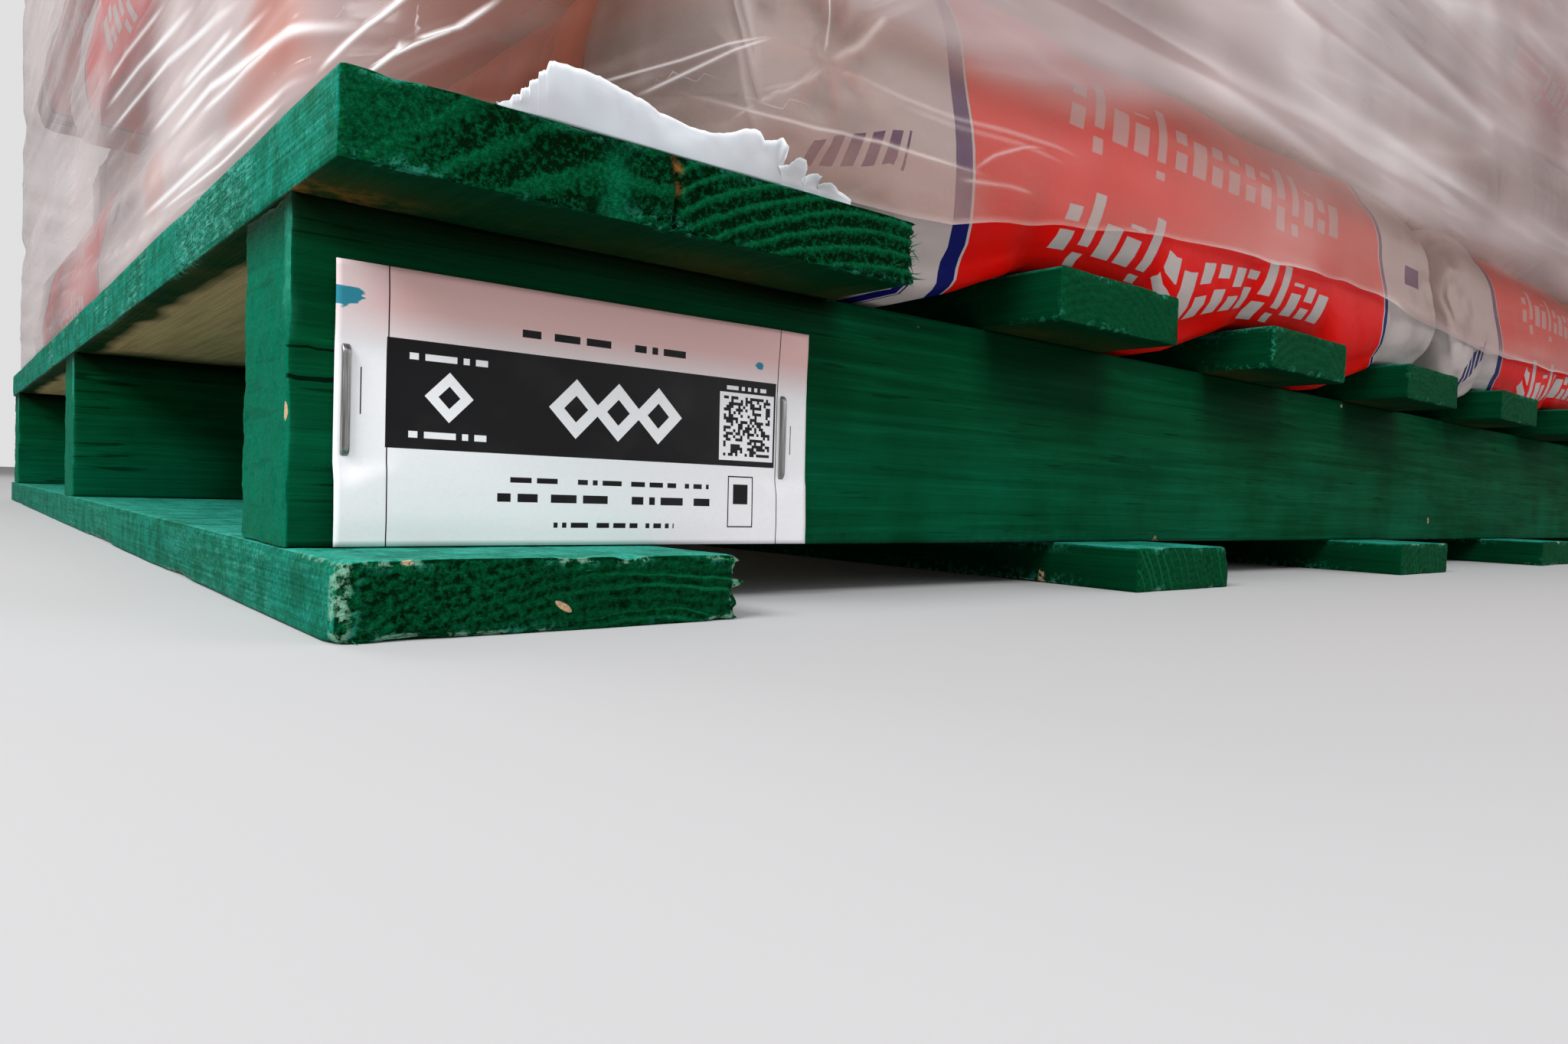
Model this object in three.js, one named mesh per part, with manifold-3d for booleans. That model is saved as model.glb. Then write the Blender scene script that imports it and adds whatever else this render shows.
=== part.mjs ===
// A loaded pallet: filled sacks on a green two-way entry timber pallet, held by stretch film.
// Millimetres, +Z up. X runs along the stringers and Y along the boards.
// The origin is on the floor under the middle of the pallet.
// The near side, which carries the card tag, faces -Y.

import * as THREE from 'three';
import { mergeVertices } from 'three/addons/utils/BufferGeometryUtils.js';
import Module from 'manifold-3d';

// Pallet sizes
const PALLET_LENGTH = 1200;
const BOTTOM_BOARD_LENGTH = 1000;
const TOP_BOARD_LENGTH = 992;
const STRINGER_HEIGHT = 80;
const STRINGER_THICKNESS = 42;
const STRINGER_INSET = 34;
const TOP_THICKNESS = 19;
const TOP_LEAD_WIDTH = 165;
const TOP_BOARD_WIDTH = 78;
const TOP_BOARD_PITCH = 160;
const BOTTOM_THICKNESS = 17;
const BOTTOM_LEAD_WIDTH = 100;
const BOTTOM_BOARD_WIDTH = 70;
// The lower boards between the two lead boards, by the distance of their middles from the left end
const BOTTOM_BOARD_MIDDLES = [326, 588, 848];
const ARRIS = 1;

// Card tag and its staples
const TAG_WIDTH = 143.5;
const TAG_HEIGHT = 66.4;
const TAG_THICKNESS = 0.6;
const TAG_FROM_END = 10;
const TAG_LIFT = 0.4;
const STAPLE_CROWN = 27.5;
const STAPLE_WIRE = 1.3;
const STAPLE_LEG = 12;
const STAPLE_HOLE_CLEARANCE = 0.3;
const LEFT_STAPLE_IN = 2.5;
const RIGHT_STAPLE_IN = 9.5;
const LEFT_STAPLE_DROP = 18.7;
const RIGHT_STAPLE_DROP = 19.6;

// Sacks and how they are stacked
const SACK_LENGTH = 546;
const SACK_WIDTH = 385;
const SACK_HEIGHT = 104;
const SACK_EDGE_IN = 40;
const SACK_EDGE_HEIGHT = 42;
const SACK_CORNER_RADIUS = 24;
const LAYERS = 8;
const LAYER_GAP = 0.3;
const ROW_GAP = 1;
const LOAD_NEAR = -488;
const FRONT_PAIR_LEFT = -505;
const BACK_TRIO_LEFT = -590;
const FRONT_TRIO_LEFT = -598.7;
const BACK_PAIR_LEFT = -560;

// The lowest layer sinks into the gaps between the deck boards
const SAG_DEPTH = 17.7;
const SAG_SIDE_CLEARANCE = 1.5;
const SAG_TAPER = 12;
const SAG_EDGE_INSET = 52;
const SAG_ROOT = 20;

// Stretch film
const FILM_THICKNESS = 1;
const FILM_CLEARANCE = 0.3;
const FILM_CORNER_RADIUS = 48;
const FILM_LOWER_EDGE = 128;
const FILM_LIP = 36;
const SCRAP_LEFT = -562;
const SCRAP_RIGHT = -468;
const SCRAP_HEIGHT = 13;
const SCRAP_THICKNESS = 0.8;
const SCRAP_DEPTH = 22;

// Levels and edges worked out from the sizes above
const STRINGER_BOTTOM = BOTTOM_THICKNESS;
const STRINGER_TOP = STRINGER_BOTTOM + STRINGER_HEIGHT;
const DECK_TOP = STRINGER_TOP + TOP_THICKNESS;
const LEFT_END = -PALLET_LENGTH / 2;
const STRINGER_OUTER = TOP_BOARD_LENGTH / 2 - STRINGER_INSET;
const LAYER_PITCH = SACK_HEIGHT + LAYER_GAP;
const LOAD_BOTTOM = DECK_TOP + LAYER_GAP;
const LOAD_TOP = LOAD_BOTTOM + LAYERS * LAYER_PITCH - LAYER_GAP;
const LOAD_LEFT = FRONT_TRIO_LEFT;
const LOAD_RIGHT = FRONT_PAIR_LEFT + 2 * SACK_LENGTH + ROW_GAP;
const LOAD_FAR = LOAD_NEAR + SACK_WIDTH + ROW_GAP + SACK_LENGTH;

const wasm = await Module();
wasm.setup();

const stack = new THREE.Group();

// Finishes
const finish = (color, roughness, metalness = 0, more = {}) =>
  new THREE.MeshStandardMaterial({ color, roughness, metalness, ...more });
const greenPaint = finish(0x0a6b48, 0.75);
const cardFinish = finish(0xf2f1ee, 0.35);
const stapleSteel = finish(0x6f7375, 0.4, 1);
const sackPlastic = finish(0xe4502e, 0.3);
const clearFilm = finish(0xe9e4e4, 0.15, 0, { transparent: true, opacity: 0.3 });

function addPiece(name, geometry, material) {
  const mesh = new THREE.Mesh(geometry, material);
  mesh.name = name;
  stack.add(mesh);
  return mesh;
}

// Joining and cutting closed meshes
function toSolid(geometry) {
  const bare = geometry.clone();
  bare.deleteAttribute('normal');
  bare.deleteAttribute('uv');
  const merged = mergeVertices(bare, 1e-4);
  const vertProperties = new Float32Array(merged.attributes.position.array);
  const triVerts = new Uint32Array(merged.index.array);
  return new wasm.Manifold(new wasm.Mesh({ numProp: 3, vertProperties, triVerts }));
}

function toGeometry(solid) {
  const mesh = solid.getMesh();
  const geometry = new THREE.BufferGeometry();
  geometry.setAttribute('position', new THREE.BufferAttribute(new Float32Array(mesh.vertProperties), 3));
  geometry.setIndex(new THREE.BufferAttribute(new Uint32Array(mesh.triVerts), 1));
  geometry.computeVertexNormals();
  return geometry;
}

function boxBetween(low, high) {
  const size = high.map((value, axis) => value - low[axis]);
  const geometry = new THREE.BoxGeometry(...size);
  geometry.translate(...high.map((value, axis) => (value + low[axis]) / 2));
  return geometry;
}

// A sawn bar along X with its four long edges eased, centred on its own origin
function sawnBar(length, width, height) {
  const halfWidth = width / 2;
  const halfHeight = height / 2;
  const outline = new THREE.Shape();
  outline.moveTo(-halfWidth + ARRIS, -halfHeight);
  outline.lineTo(halfWidth - ARRIS, -halfHeight);
  outline.lineTo(halfWidth, -halfHeight + ARRIS);
  outline.lineTo(halfWidth, halfHeight - ARRIS);
  outline.lineTo(halfWidth - ARRIS, halfHeight);
  outline.lineTo(-halfWidth + ARRIS, halfHeight);
  outline.lineTo(-halfWidth, halfHeight - ARRIS);
  outline.lineTo(-halfWidth, -halfHeight + ARRIS);
  outline.closePath();
  const bar = new THREE.ExtrudeGeometry(outline, { depth: length, bevelEnabled: false });
  bar.translate(0, 0, -length / 2);
  bar.rotateX(Math.PI / 2);
  bar.rotateZ(Math.PI / 2);
  return bar;
}

// Staple legs, as boxes grown by a clearance where they are used as holes
function stapleX(side) {
  const tagLeft = LEFT_END + TAG_FROM_END;
  if (side === 'left') return tagLeft + LEFT_STAPLE_IN;
  return tagLeft + TAG_WIDTH - RIGHT_STAPLE_IN;
}

function stapleTop(side) {
  const drop = side === 'left' ? LEFT_STAPLE_DROP : RIGHT_STAPLE_DROP;
  return STRINGER_BOTTOM + TAG_LIFT + TAG_HEIGHT - drop;
}

const TAG_BACK = -STRINGER_OUTER;
const TAG_FRONT = TAG_BACK - TAG_THICKNESS;
const CROWN_FRONT = TAG_FRONT - LAYER_GAP - STAPLE_WIRE;

function stapleLegs(side, grow) {
  const middle = stapleX(side);
  const half = STAPLE_WIRE / 2 + grow;
  const upper = stapleTop(side) - STAPLE_WIRE / 2;
  const lower = stapleTop(side) - STAPLE_CROWN + STAPLE_WIRE / 2;
  return [upper, lower].map((level) =>
    boxBetween(
      [middle - half, CROWN_FRONT, level - half],
      [middle + half, TAG_BACK + STAPLE_LEG + grow, level + half],
    ),
  );
}

function cutStapleHoles(geometry) {
  let solid = toSolid(geometry);
  for (const side of ['left', 'right']) {
    for (const leg of stapleLegs(side, STAPLE_HOLE_CLEARANCE)) {
      solid = solid.subtract(toSolid(leg));
    }
  }
  return toGeometry(solid);
}

function staple(side) {
  const middle = stapleX(side);
  const top = stapleTop(side);
  const crown = boxBetween(
    [middle - STAPLE_WIRE / 2, CROWN_FRONT, top - STAPLE_CROWN],
    [middle + STAPLE_WIRE / 2, CROWN_FRONT + STAPLE_WIRE, top],
  );
  let solid = toSolid(crown);
  for (const leg of stapleLegs(side, 0)) solid = solid.add(toSolid(leg));
  return toGeometry(solid);
}

// Stringers
function addStringers() {
  const rows = [
    ['stringer_near', -STRINGER_OUTER + STRINGER_THICKNESS / 2],
    ['stringer_middle', 0],
    ['stringer_far', STRINGER_OUTER - STRINGER_THICKNESS / 2],
  ];
  for (const [name, y] of rows) {
    const bar = sawnBar(PALLET_LENGTH, STRINGER_THICKNESS, STRINGER_HEIGHT);
    bar.translate(0, y, STRINGER_BOTTOM + STRINGER_HEIGHT / 2);
    addPiece(name, name === 'stringer_near' ? cutStapleHoles(bar) : bar, greenPaint);
  }
}

// A board that crosses the stringers, by the middle of its width
function crossBoard(middleX, width, thickness, length, bottom) {
  const bar = sawnBar(length, width, thickness);
  bar.rotateZ(Math.PI / 2);
  bar.translate(middleX, 0, bottom + thickness / 2);
  return bar;
}

function topBoards() {
  const leadMiddle = PALLET_LENGTH / 2 - TOP_LEAD_WIDTH / 2;
  const boards = [['top_lead_board_left', -leadMiddle, TOP_LEAD_WIDTH]];
  for (let i = 0; i < 5; i += 1) {
    boards.push([`top_board_${i + 2}`, (i - 2) * TOP_BOARD_PITCH, TOP_BOARD_WIDTH]);
  }
  boards.push(['top_lead_board_right', leadMiddle, TOP_LEAD_WIDTH]);
  return boards;
}

function bottomBoards() {
  const leadMiddle = PALLET_LENGTH / 2 - BOTTOM_LEAD_WIDTH / 2;
  const boards = [['bottom_lead_board_left', -leadMiddle, BOTTOM_LEAD_WIDTH]];
  BOTTOM_BOARD_MIDDLES.forEach((middle, i) => {
    boards.push([`bottom_board_${i + 2}`, LEFT_END + middle, BOTTOM_BOARD_WIDTH]);
  });
  boards.push(['bottom_lead_board_right', leadMiddle, BOTTOM_LEAD_WIDTH]);
  return boards;
}

function addBoards() {
  for (const [name, x, width] of topBoards()) {
    addPiece(name, crossBoard(x, width, TOP_THICKNESS, TOP_BOARD_LENGTH, STRINGER_TOP), greenPaint);
  }
  for (const [name, x, width] of bottomBoards()) {
    addPiece(name, crossBoard(x, width, BOTTOM_THICKNESS, BOTTOM_BOARD_LENGTH, 0), greenPaint);
  }
}

// The card and the two staples that pin it to the near stringer
function addTag() {
  const left = LEFT_END + TAG_FROM_END;
  const bottom = STRINGER_BOTTOM + TAG_LIFT;
  const card = boxBetween(
    [left, TAG_FRONT, bottom],
    [left + TAG_WIDTH, TAG_BACK, bottom + TAG_HEIGHT],
  );
  addPiece('tag_card', cutStapleHoles(card), cardFinish);
  for (const side of ['left', 'right']) addPiece(`tag_staple_${side}`, staple(side), stapleSteel);
}

// A rectangle with round corners, centred on the origin
function roundRectangle(Outline, length, width, radius) {
  const x = length / 2 - radius;
  const y = width / 2 - radius;
  const outline = new Outline();
  outline.absarc(x, -y, radius, -Math.PI / 2, 0);
  outline.absarc(x, y, radius, 0, Math.PI / 2);
  outline.absarc(-x, y, radius, Math.PI / 2, Math.PI);
  outline.absarc(-x, -y, radius, Math.PI, (3 * Math.PI) / 2);
  outline.closePath();
  return outline;
}

// A filled sack: a rounded pillow with a flat top and bottom, its long side along X
function sackPillow() {
  const outline = roundRectangle(
    THREE.Shape,
    SACK_LENGTH - 2 * SACK_EDGE_IN,
    SACK_WIDTH - 2 * SACK_EDGE_IN,
    SACK_CORNER_RADIUS,
  );
  const pillow = new THREE.ExtrudeGeometry(outline, {
    depth: SACK_HEIGHT - 2 * SACK_EDGE_HEIGHT,
    curveSegments: 1,
    bevelSize: SACK_EDGE_IN,
    bevelThickness: SACK_EDGE_HEIGHT,
    bevelSegments: 2,
  });
  pillow.translate(0, 0, SACK_EDGE_HEIGHT);
  return pillow;
}

// Places of the five sacks of one layer. Odd layers have the pair at the near side.
function layerPlaces(layer) {
  const pairIsNear = layer % 2 === 1;
  const pairLeft = pairIsNear ? FRONT_PAIR_LEFT : BACK_PAIR_LEFT;
  const trioLeft = pairIsNear ? BACK_TRIO_LEFT : FRONT_TRIO_LEFT;
  const pairY = pairIsNear ? LOAD_NEAR + SACK_WIDTH / 2 : LOAD_FAR - SACK_WIDTH / 2;
  const trioY = pairIsNear ? LOAD_FAR - SACK_LENGTH / 2 : LOAD_NEAR + SACK_LENGTH / 2;
  const places = [];
  for (let i = 0; i < 2; i += 1) {
    places.push([pairLeft + SACK_LENGTH / 2 + i * (SACK_LENGTH + ROW_GAP), pairY, false]);
  }
  for (let i = 0; i < 3; i += 1) {
    places.push([trioLeft + SACK_WIDTH / 2 + i * (SACK_WIDTH + ROW_GAP), trioY, true]);
  }
  return places;
}

// What a sack of the lowest layer pushes down between the deck boards
function sagBetweenBoards(x, y, turned) {
  const lengthX = (turned ? SACK_WIDTH : SACK_LENGTH) - 2 * SAG_EDGE_INSET;
  const lengthY = (turned ? SACK_LENGTH : SACK_WIDTH) - 2 * SAG_EDGE_INSET;
  const low = LOAD_BOTTOM - SAG_DEPTH;
  const high = LOAD_BOTTOM + SAG_ROOT;
  const footprint = toSolid(
    boxBetween([x - lengthX / 2, y - lengthY / 2, low], [x + lengthX / 2, y + lengthY / 2, high]),
  );
  const boards = topBoards();
  let sag = null;
  for (let i = 0; i + 1 < boards.length; i += 1) {
    const left = boards[i][1] + boards[i][2] / 2 + SAG_SIDE_CLEARANCE;
    const right = boards[i + 1][1] - boards[i + 1][2] / 2 - SAG_SIDE_CLEARANCE;
    const section = new THREE.Shape();
    section.moveTo(left + SAG_TAPER, low);
    section.lineTo(right - SAG_TAPER, low);
    section.lineTo(right, DECK_TOP);
    section.lineTo(right, high);
    section.lineTo(left, high);
    section.lineTo(left, DECK_TOP);
    section.closePath();
    const bar = new THREE.ExtrudeGeometry(section, { depth: PALLET_LENGTH, bevelEnabled: false });
    bar.rotateX(Math.PI / 2);
    bar.translate(0, PALLET_LENGTH / 2, 0);
    const lobe = toSolid(bar).intersect(footprint);
    if (lobe.isEmpty()) continue;
    sag = sag ? sag.add(lobe) : lobe;
  }
  return sag;
}

function addSacks() {
  for (let layer = 1; layer <= LAYERS; layer += 1) {
    const bottom = LOAD_BOTTOM + (layer - 1) * LAYER_PITCH;
    layerPlaces(layer).forEach(([x, y, turned], i) => {
      let pillow = sackPillow();
      if (turned) pillow.rotateZ(Math.PI / 2);
      pillow.translate(x, y, bottom);
      if (layer === 1) pillow = toGeometry(toSolid(pillow).add(sagBetweenBoards(x, y, turned)));
      addPiece(`sack_${layer}_${i + 1}`, pillow, sackPlastic);
    });
  }
}

// The film: a tube round the load with a lip that laps onto the top layer
function filmRing(hole, bottom, top) {
  const grow = 2 * (FILM_CLEARANCE + FILM_THICKNESS);
  const length = LOAD_RIGHT - LOAD_LEFT;
  const width = LOAD_FAR - LOAD_NEAR;
  const outline = roundRectangle(
    THREE.Shape,
    length + grow,
    width + grow,
    FILM_CORNER_RADIUS + FILM_THICKNESS,
  );
  outline.holes.push(
    roundRectangle(
      THREE.Path,
      length + 2 * FILM_CLEARANCE - 2 * hole,
      width + 2 * FILM_CLEARANCE - 2 * hole,
      FILM_CORNER_RADIUS,
    ),
  );
  const ring = new THREE.ExtrudeGeometry(outline, {
    depth: top - bottom,
    curveSegments: 3,
    bevelEnabled: false,
  });
  ring.translate((LOAD_LEFT + LOAD_RIGHT) / 2, (LOAD_NEAR + LOAD_FAR) / 2, bottom);
  return toSolid(ring);
}

function addFilm() {
  const lipBottom = LOAD_TOP + FILM_CLEARANCE;
  const lipTop = lipBottom + FILM_THICKNESS;
  const wrap = filmRing(0, FILM_LOWER_EDGE, lipTop).add(filmRing(FILM_LIP, lipBottom, lipTop));
  addPiece('film_wrap', toGeometry(wrap), clearFilm);
}

// The torn end of film, lying on the lead board and curling up against the near sack
function addFilmScrap() {
  const deck = DECK_TOP + FILM_CLEARANCE;
  const front = -TOP_BOARD_LENGTH / 2;
  const section = new THREE.Shape();
  section.moveTo(front, deck);
  section.lineTo(front + SCRAP_DEPTH, deck);
  section.lineTo(front + SCRAP_DEPTH, deck + SCRAP_THICKNESS);
  section.lineTo(front + 2 * SCRAP_THICKNESS, deck + SCRAP_THICKNESS);
  section.lineTo(front + 4 * SCRAP_THICKNESS, deck + SCRAP_HEIGHT);
  section.lineTo(front + 3 * SCRAP_THICKNESS, deck + SCRAP_HEIGHT);
  section.closePath();
  const scrap = new THREE.ExtrudeGeometry(section, {
    depth: SCRAP_RIGHT - SCRAP_LEFT,
    bevelEnabled: false,
  });
  scrap.rotateX(Math.PI / 2);
  scrap.rotateZ(Math.PI / 2);
  scrap.translate(SCRAP_LEFT, 0, 0);
  addPiece('film_scrap', scrap, clearFilm);
}

addStringers();
addBoards();
addTag();
addSacks();
addFilm();
addFilmScrap();

export default stack;
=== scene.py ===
import math

import bmesh
import bpy
import numpy as np
from mathutils import Matrix, Vector


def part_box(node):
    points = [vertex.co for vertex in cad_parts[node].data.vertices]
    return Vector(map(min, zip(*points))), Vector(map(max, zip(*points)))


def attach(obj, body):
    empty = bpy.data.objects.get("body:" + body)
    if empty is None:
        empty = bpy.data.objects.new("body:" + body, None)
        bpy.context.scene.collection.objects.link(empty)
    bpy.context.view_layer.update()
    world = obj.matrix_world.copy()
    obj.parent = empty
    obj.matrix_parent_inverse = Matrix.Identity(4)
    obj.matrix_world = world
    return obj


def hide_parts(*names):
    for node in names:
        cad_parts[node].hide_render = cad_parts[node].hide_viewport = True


bl_info = {
    "name": "Pallet of sacks",
    "version": (1, 0, 0),
    "blender": (4, 5, 0),
    "location": "3D View > Sidebar > Sacks",
    "description": "Paints the timber, fills the sacks, prints the card and wraps the load in film",
    "category": "Object",
}

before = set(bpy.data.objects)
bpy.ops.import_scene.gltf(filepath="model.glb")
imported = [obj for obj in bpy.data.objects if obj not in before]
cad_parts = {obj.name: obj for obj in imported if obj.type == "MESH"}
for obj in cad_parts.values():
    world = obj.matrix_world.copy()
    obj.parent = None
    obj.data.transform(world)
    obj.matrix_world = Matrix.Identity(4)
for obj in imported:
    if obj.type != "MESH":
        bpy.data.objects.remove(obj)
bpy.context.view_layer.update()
MM = 0.001
BODY = "root"

# The two boards that the camera stands closest to
SHOWN_BOARD = "top_lead_board_left"
LOWEST_BOARD = "bottom_lead_board_left"

# Sizes that the solids give
DECK_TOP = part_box(SHOWN_BOARD)[1].z
SACK_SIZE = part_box("sack_2_1")[1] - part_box("sack_2_1")[0]
FILM_LOW, FILM_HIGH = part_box("film_wrap")
TAG_LOW, TAG_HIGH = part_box("tag_card")

TOP_BOARDS = [SHOWN_BOARD, *(f"top_board_{n}" for n in range(2, 7)), "top_lead_board_right"]
BOTTOM_BOARDS = [LOWEST_BOARD, *(f"bottom_board_{n}" for n in range(2, 5)), "bottom_lead_board_right"]
STRINGERS = ["stringer_near", "stringer_middle", "stringer_far"]
# Place along X of the crack in the near end of the left lead board
CRACK = -519 * MM
# Sacks that the camera stands close to
CLOSE_SACKS = ("sack_1_1", "sack_1_2", "sack_2_3", "sack_2_4", "sack_2_5")


class TimberSettings(bpy.types.PropertyGroup):
    """Paint and wear of the pallet's timber"""

    paint_dark: bpy.props.FloatVectorProperty(
        name="Dark paint", description="Paint in the low grain", subtype="COLOR",
        default=(0.0002, 0.010, 0.0016),
    )
    paint_mid: bpy.props.FloatVectorProperty(
        name="Paint", description="Paint over most of the wood", subtype="COLOR",
        default=(0.0004, 0.060, 0.020),
    )
    paint_light: bpy.props.FloatVectorProperty(
        name="Light paint", description="Paint on ridges and edges", subtype="COLOR",
        default=(0.002, 0.140, 0.060),
    )
    # Thick spray on faces turned up or to the left, lightened as painted light
    lit_spray: bpy.props.FloatVectorProperty(
        name="Thick spray", description="Paint where the spray built up", subtype="COLOR",
        default=(0.008, 0.225, 0.158),
    )
    bare_wood: bpy.props.FloatVectorProperty(
        name="Bare wood", description="Wood that the spray missed", subtype="COLOR",
        default=(0.62, 0.40, 0.20),
    )
    stain: bpy.props.FloatVectorProperty(
        name="Stain", description="Resin and rust in the cracks", subtype="COLOR", default=(0.34, 0.13, 0.03)
    )
    arris: bpy.props.FloatProperty(
        name="Arris wear", description="Radius of the worn long edges", default=1.1 * MM,
        min=0.0, unit="LENGTH",
    )
    ring_depth: bpy.props.FloatProperty(
        name="Ring relief", description="Depth between the hard rings of a sawn end", default=0.9 * MM,
        min=0.0, unit="LENGTH",
    )
    fibre_length: bpy.props.FloatProperty(
        name="Fibre length", description="Length of the torn fibres on the sawn ends", default=2.6 * MM,
        min=0.0, unit="LENGTH",
    )
    fibre_density: bpy.props.FloatProperty(
        name="Fibre density", description="Fibres on a square metre of torn end", default=90000.0, min=0.0
    )


class SackSettings(bpy.types.PropertyGroup):
    """Skin, filling and print of the sacks"""

    white: bpy.props.FloatVectorProperty(
        name="Skin", description="Unprinted skin", subtype="COLOR", default=(0.42, 0.360, 0.345)
    )
    red: bpy.props.FloatVectorProperty(
        name="Panel", description="Printed panel", subtype="COLOR", default=(0.62, 0.003, 0.001)
    )
    blue: bpy.props.FloatVectorProperty(
        name="Stripe", description="Printed stripes and bars", subtype="COLOR", default=(0.003, 0.005, 0.085)
    )
    panel: bpy.props.FloatProperty(
        name="Panel length", description="Length of the printed panel along the sack", default=354 * MM,
        min=0.0, unit="LENGTH",
    )
    pressure: bpy.props.FloatProperty(
        name="Pressure", description="Pressure of the filling on the skin", default=4.0, min=0.0
    )
    slack: bpy.props.FloatProperty(
        name="Spare skin", description="Share by which the skin is larger than the filling", default=0.035,
        min=0.0, max=0.2,
    )
    frames: bpy.props.IntProperty(
        name="Frames", description="Frames that the skin settles for", default=20, min=1, max=60
    )
    creep: bpy.props.FloatProperty(
        name="Most movement", description="Most that a point of the skin moves as it settles", default=9 * MM,
        min=0.0, unit="LENGTH",
    )
    crease: bpy.props.FloatProperty(
        name="Crease depth", description="Depth of the gathers at the ends", default=3.2 * MM, min=0.0,
        unit="LENGTH",
    )
    sag: bpy.props.FloatProperty(
        name="Sag", description="How far the lowest sacks sink between the deck boards", default=19.2 * MM,
        min=0.0, unit="LENGTH",
    )


class FilmSettings(bpy.types.PropertyGroup):
    """Stretch film round the load"""

    tint: bpy.props.FloatVectorProperty(
        name="Tint", description="Colour of the milky film", subtype="COLOR", default=(0.66, 0.53, 0.51)
    )
    shaded: bpy.props.FloatVectorProperty(
        name="Shaded tint", description="Colour of the film on the long sides", subtype="COLOR",
        default=(0.385, 0.252, 0.238),
    )
    gleam: bpy.props.FloatVectorProperty(
        name="Gleam", description="Colour of the drawn ridges", subtype="COLOR", default=(0.95, 0.92, 0.91)
    )
    haze: bpy.props.FloatProperty(
        name="Haze", description="Cover of one smooth layer, from clear to solid",
        default=0.10, min=0.0, max=1.0,
    )
    pleat: bpy.props.FloatProperty(
        name="Pleat depth", description="Height of the pleats", default=2.6 * MM, min=0.0, unit="LENGTH"
    )


class TagSettings(bpy.types.PropertyGroup):
    """Card tag and the wire that holds it"""

    card: bpy.props.FloatVectorProperty(
        name="Card", description="Colour of the card", subtype="COLOR", default=(0.86, 0.84, 0.86)
    )
    ink: bpy.props.FloatVectorProperty(
        name="Ink", description="Colour of the printed band", subtype="COLOR", default=(0.008, 0.007, 0.008)
    )
    curl: bpy.props.FloatProperty(
        name="Curl", description="How far the lower corners lift", default=2.2 * MM, min=0.0, unit="LENGTH"
    )
    wire: bpy.props.FloatProperty(
        name="Wire", description="Width of the staple wire", default=2.0 * MM, min=0.0, unit="LENGTH"
    )


class StageSettings(bpy.types.PropertyGroup):
    """Floor, lights and camera"""

    floor: bpy.props.FloatVectorProperty(
        name="Floor", description="Colour of the floor", subtype="COLOR", default=(0.50, 0.49, 0.49)
    )
    key: bpy.props.FloatProperty(
        name="Key light", description="Power of the main light", default=58.0, unit="POWER"
    )
    fill: bpy.props.FloatProperty(
        name="Fill light", description="Power of the second light", default=25.0, unit="POWER"
    )
    sky: bpy.props.FloatProperty(name="Sky", description="Strength of the light all round", default=0.38)
    backdrop: bpy.props.FloatProperty(name="Backdrop", description="Brightness behind the load", default=0.78)
    lens: bpy.props.FloatProperty(
        name="Lens", description="Focal length of the camera", default=23.574, subtype="DISTANCE_CAMERA"
    )


# Numbers that repeat on every run


def mixed_bits(cells, seed):
    """Numbers from -1 to 1 that look random, one for each row of whole numbers"""
    x, y, z = cells[:, 0], cells[:, 1], cells[:, 2]
    bits = (x * 374761393 + y * 668265263 + z * 2147483647 + seed * 1442695041) & 0xFFFFFFFF
    bits = ((bits ^ (bits >> 13)) * 1274126177) & 0xFFFFFFFF
    return ((bits ^ (bits >> 16)) & 0xFFFF) / 32767.5 - 1.0


def soft_noise(points, cell, seed, octaves=1):
    """Smooth noise from -1 to 1 at points, with a cell size for each axis"""
    total = np.zeros(len(points))
    strength = 1.0
    share = 0.0
    cell = np.asarray(cell, float) * np.ones(3)
    for octave in range(octaves):
        place = points / (cell / 2**octave)
        whole = np.floor(place).astype(np.int64)
        part = place - whole
        part = part * part * (3 - 2 * part)
        for corner in range(8):
            step = np.array([corner & 1, corner >> 1 & 1, corner >> 2 & 1])
            weight = np.prod(np.where(step, part, 1 - part), axis=1)
            total += strength * weight * mixed_bits(whole + step, seed + octave * 17)
        share += strength
        strength *= 0.5
    return total / share


def ramp(values, low, high):
    """0 below low, 1 above high and smooth between"""
    t = np.clip((values - low) / (high - low), 0, 1)
    return t * t * (3 - 2 * t)


def hump(values, centre, width):
    """1 at a centre, falling off over a width"""
    return np.exp(-(((values - centre) / width) ** 2))


# Meshes


def add_object(name, data):
    piece = bpy.data.objects.new(name, data)
    bpy.context.scene.collection.objects.link(piece)
    return piece


def grid_faces(rows, columns, start=0, mirrored=False):
    """Faces of a sheet whose points lie row after row"""
    faces = []
    for row in range(rows):
        for column in range(columns):
            a = start + row * (columns + 1) + column
            b = a + columns + 1
            faces.append((a, b, b + 1, a + 1) if mirrored else (a, a + 1, b + 1, b))
    return faces


def new_piece(name, points, faces, material, smooth=True, outward=True):
    """A mesh object at the origin, from points in the frame of the pallet"""
    mesh = bpy.data.meshes.new(name)
    mesh.from_pydata(np.asarray(points, float).tolist(), [], faces)
    if outward:
        work = bmesh.new()
        work.from_mesh(mesh)
        bmesh.ops.recalc_face_normals(work, faces=work.faces)
        work.to_mesh(mesh)
        work.free()
    mesh.materials.append(material)
    mesh.polygons.foreach_set("use_smooth", [smooth] * len(mesh.polygons))
    mesh.update()
    return add_object(name, mesh)


def write_attributes(piece, **attributes):
    """Named numbers, one for each point of a piece"""
    for name, values in attributes.items():
        attribute = piece.data.attributes.new(name, "FLOAT", "POINT")
        attribute.data.foreach_set("value", np.asarray(values, np.float32))


def write_map(mesh, name, places):
    """A flat place for each corner of each face"""
    corners = np.asarray(places, np.float32).ravel()
    mesh.uv_layers.new(name=name).data.foreach_set("uv", corners)


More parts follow.
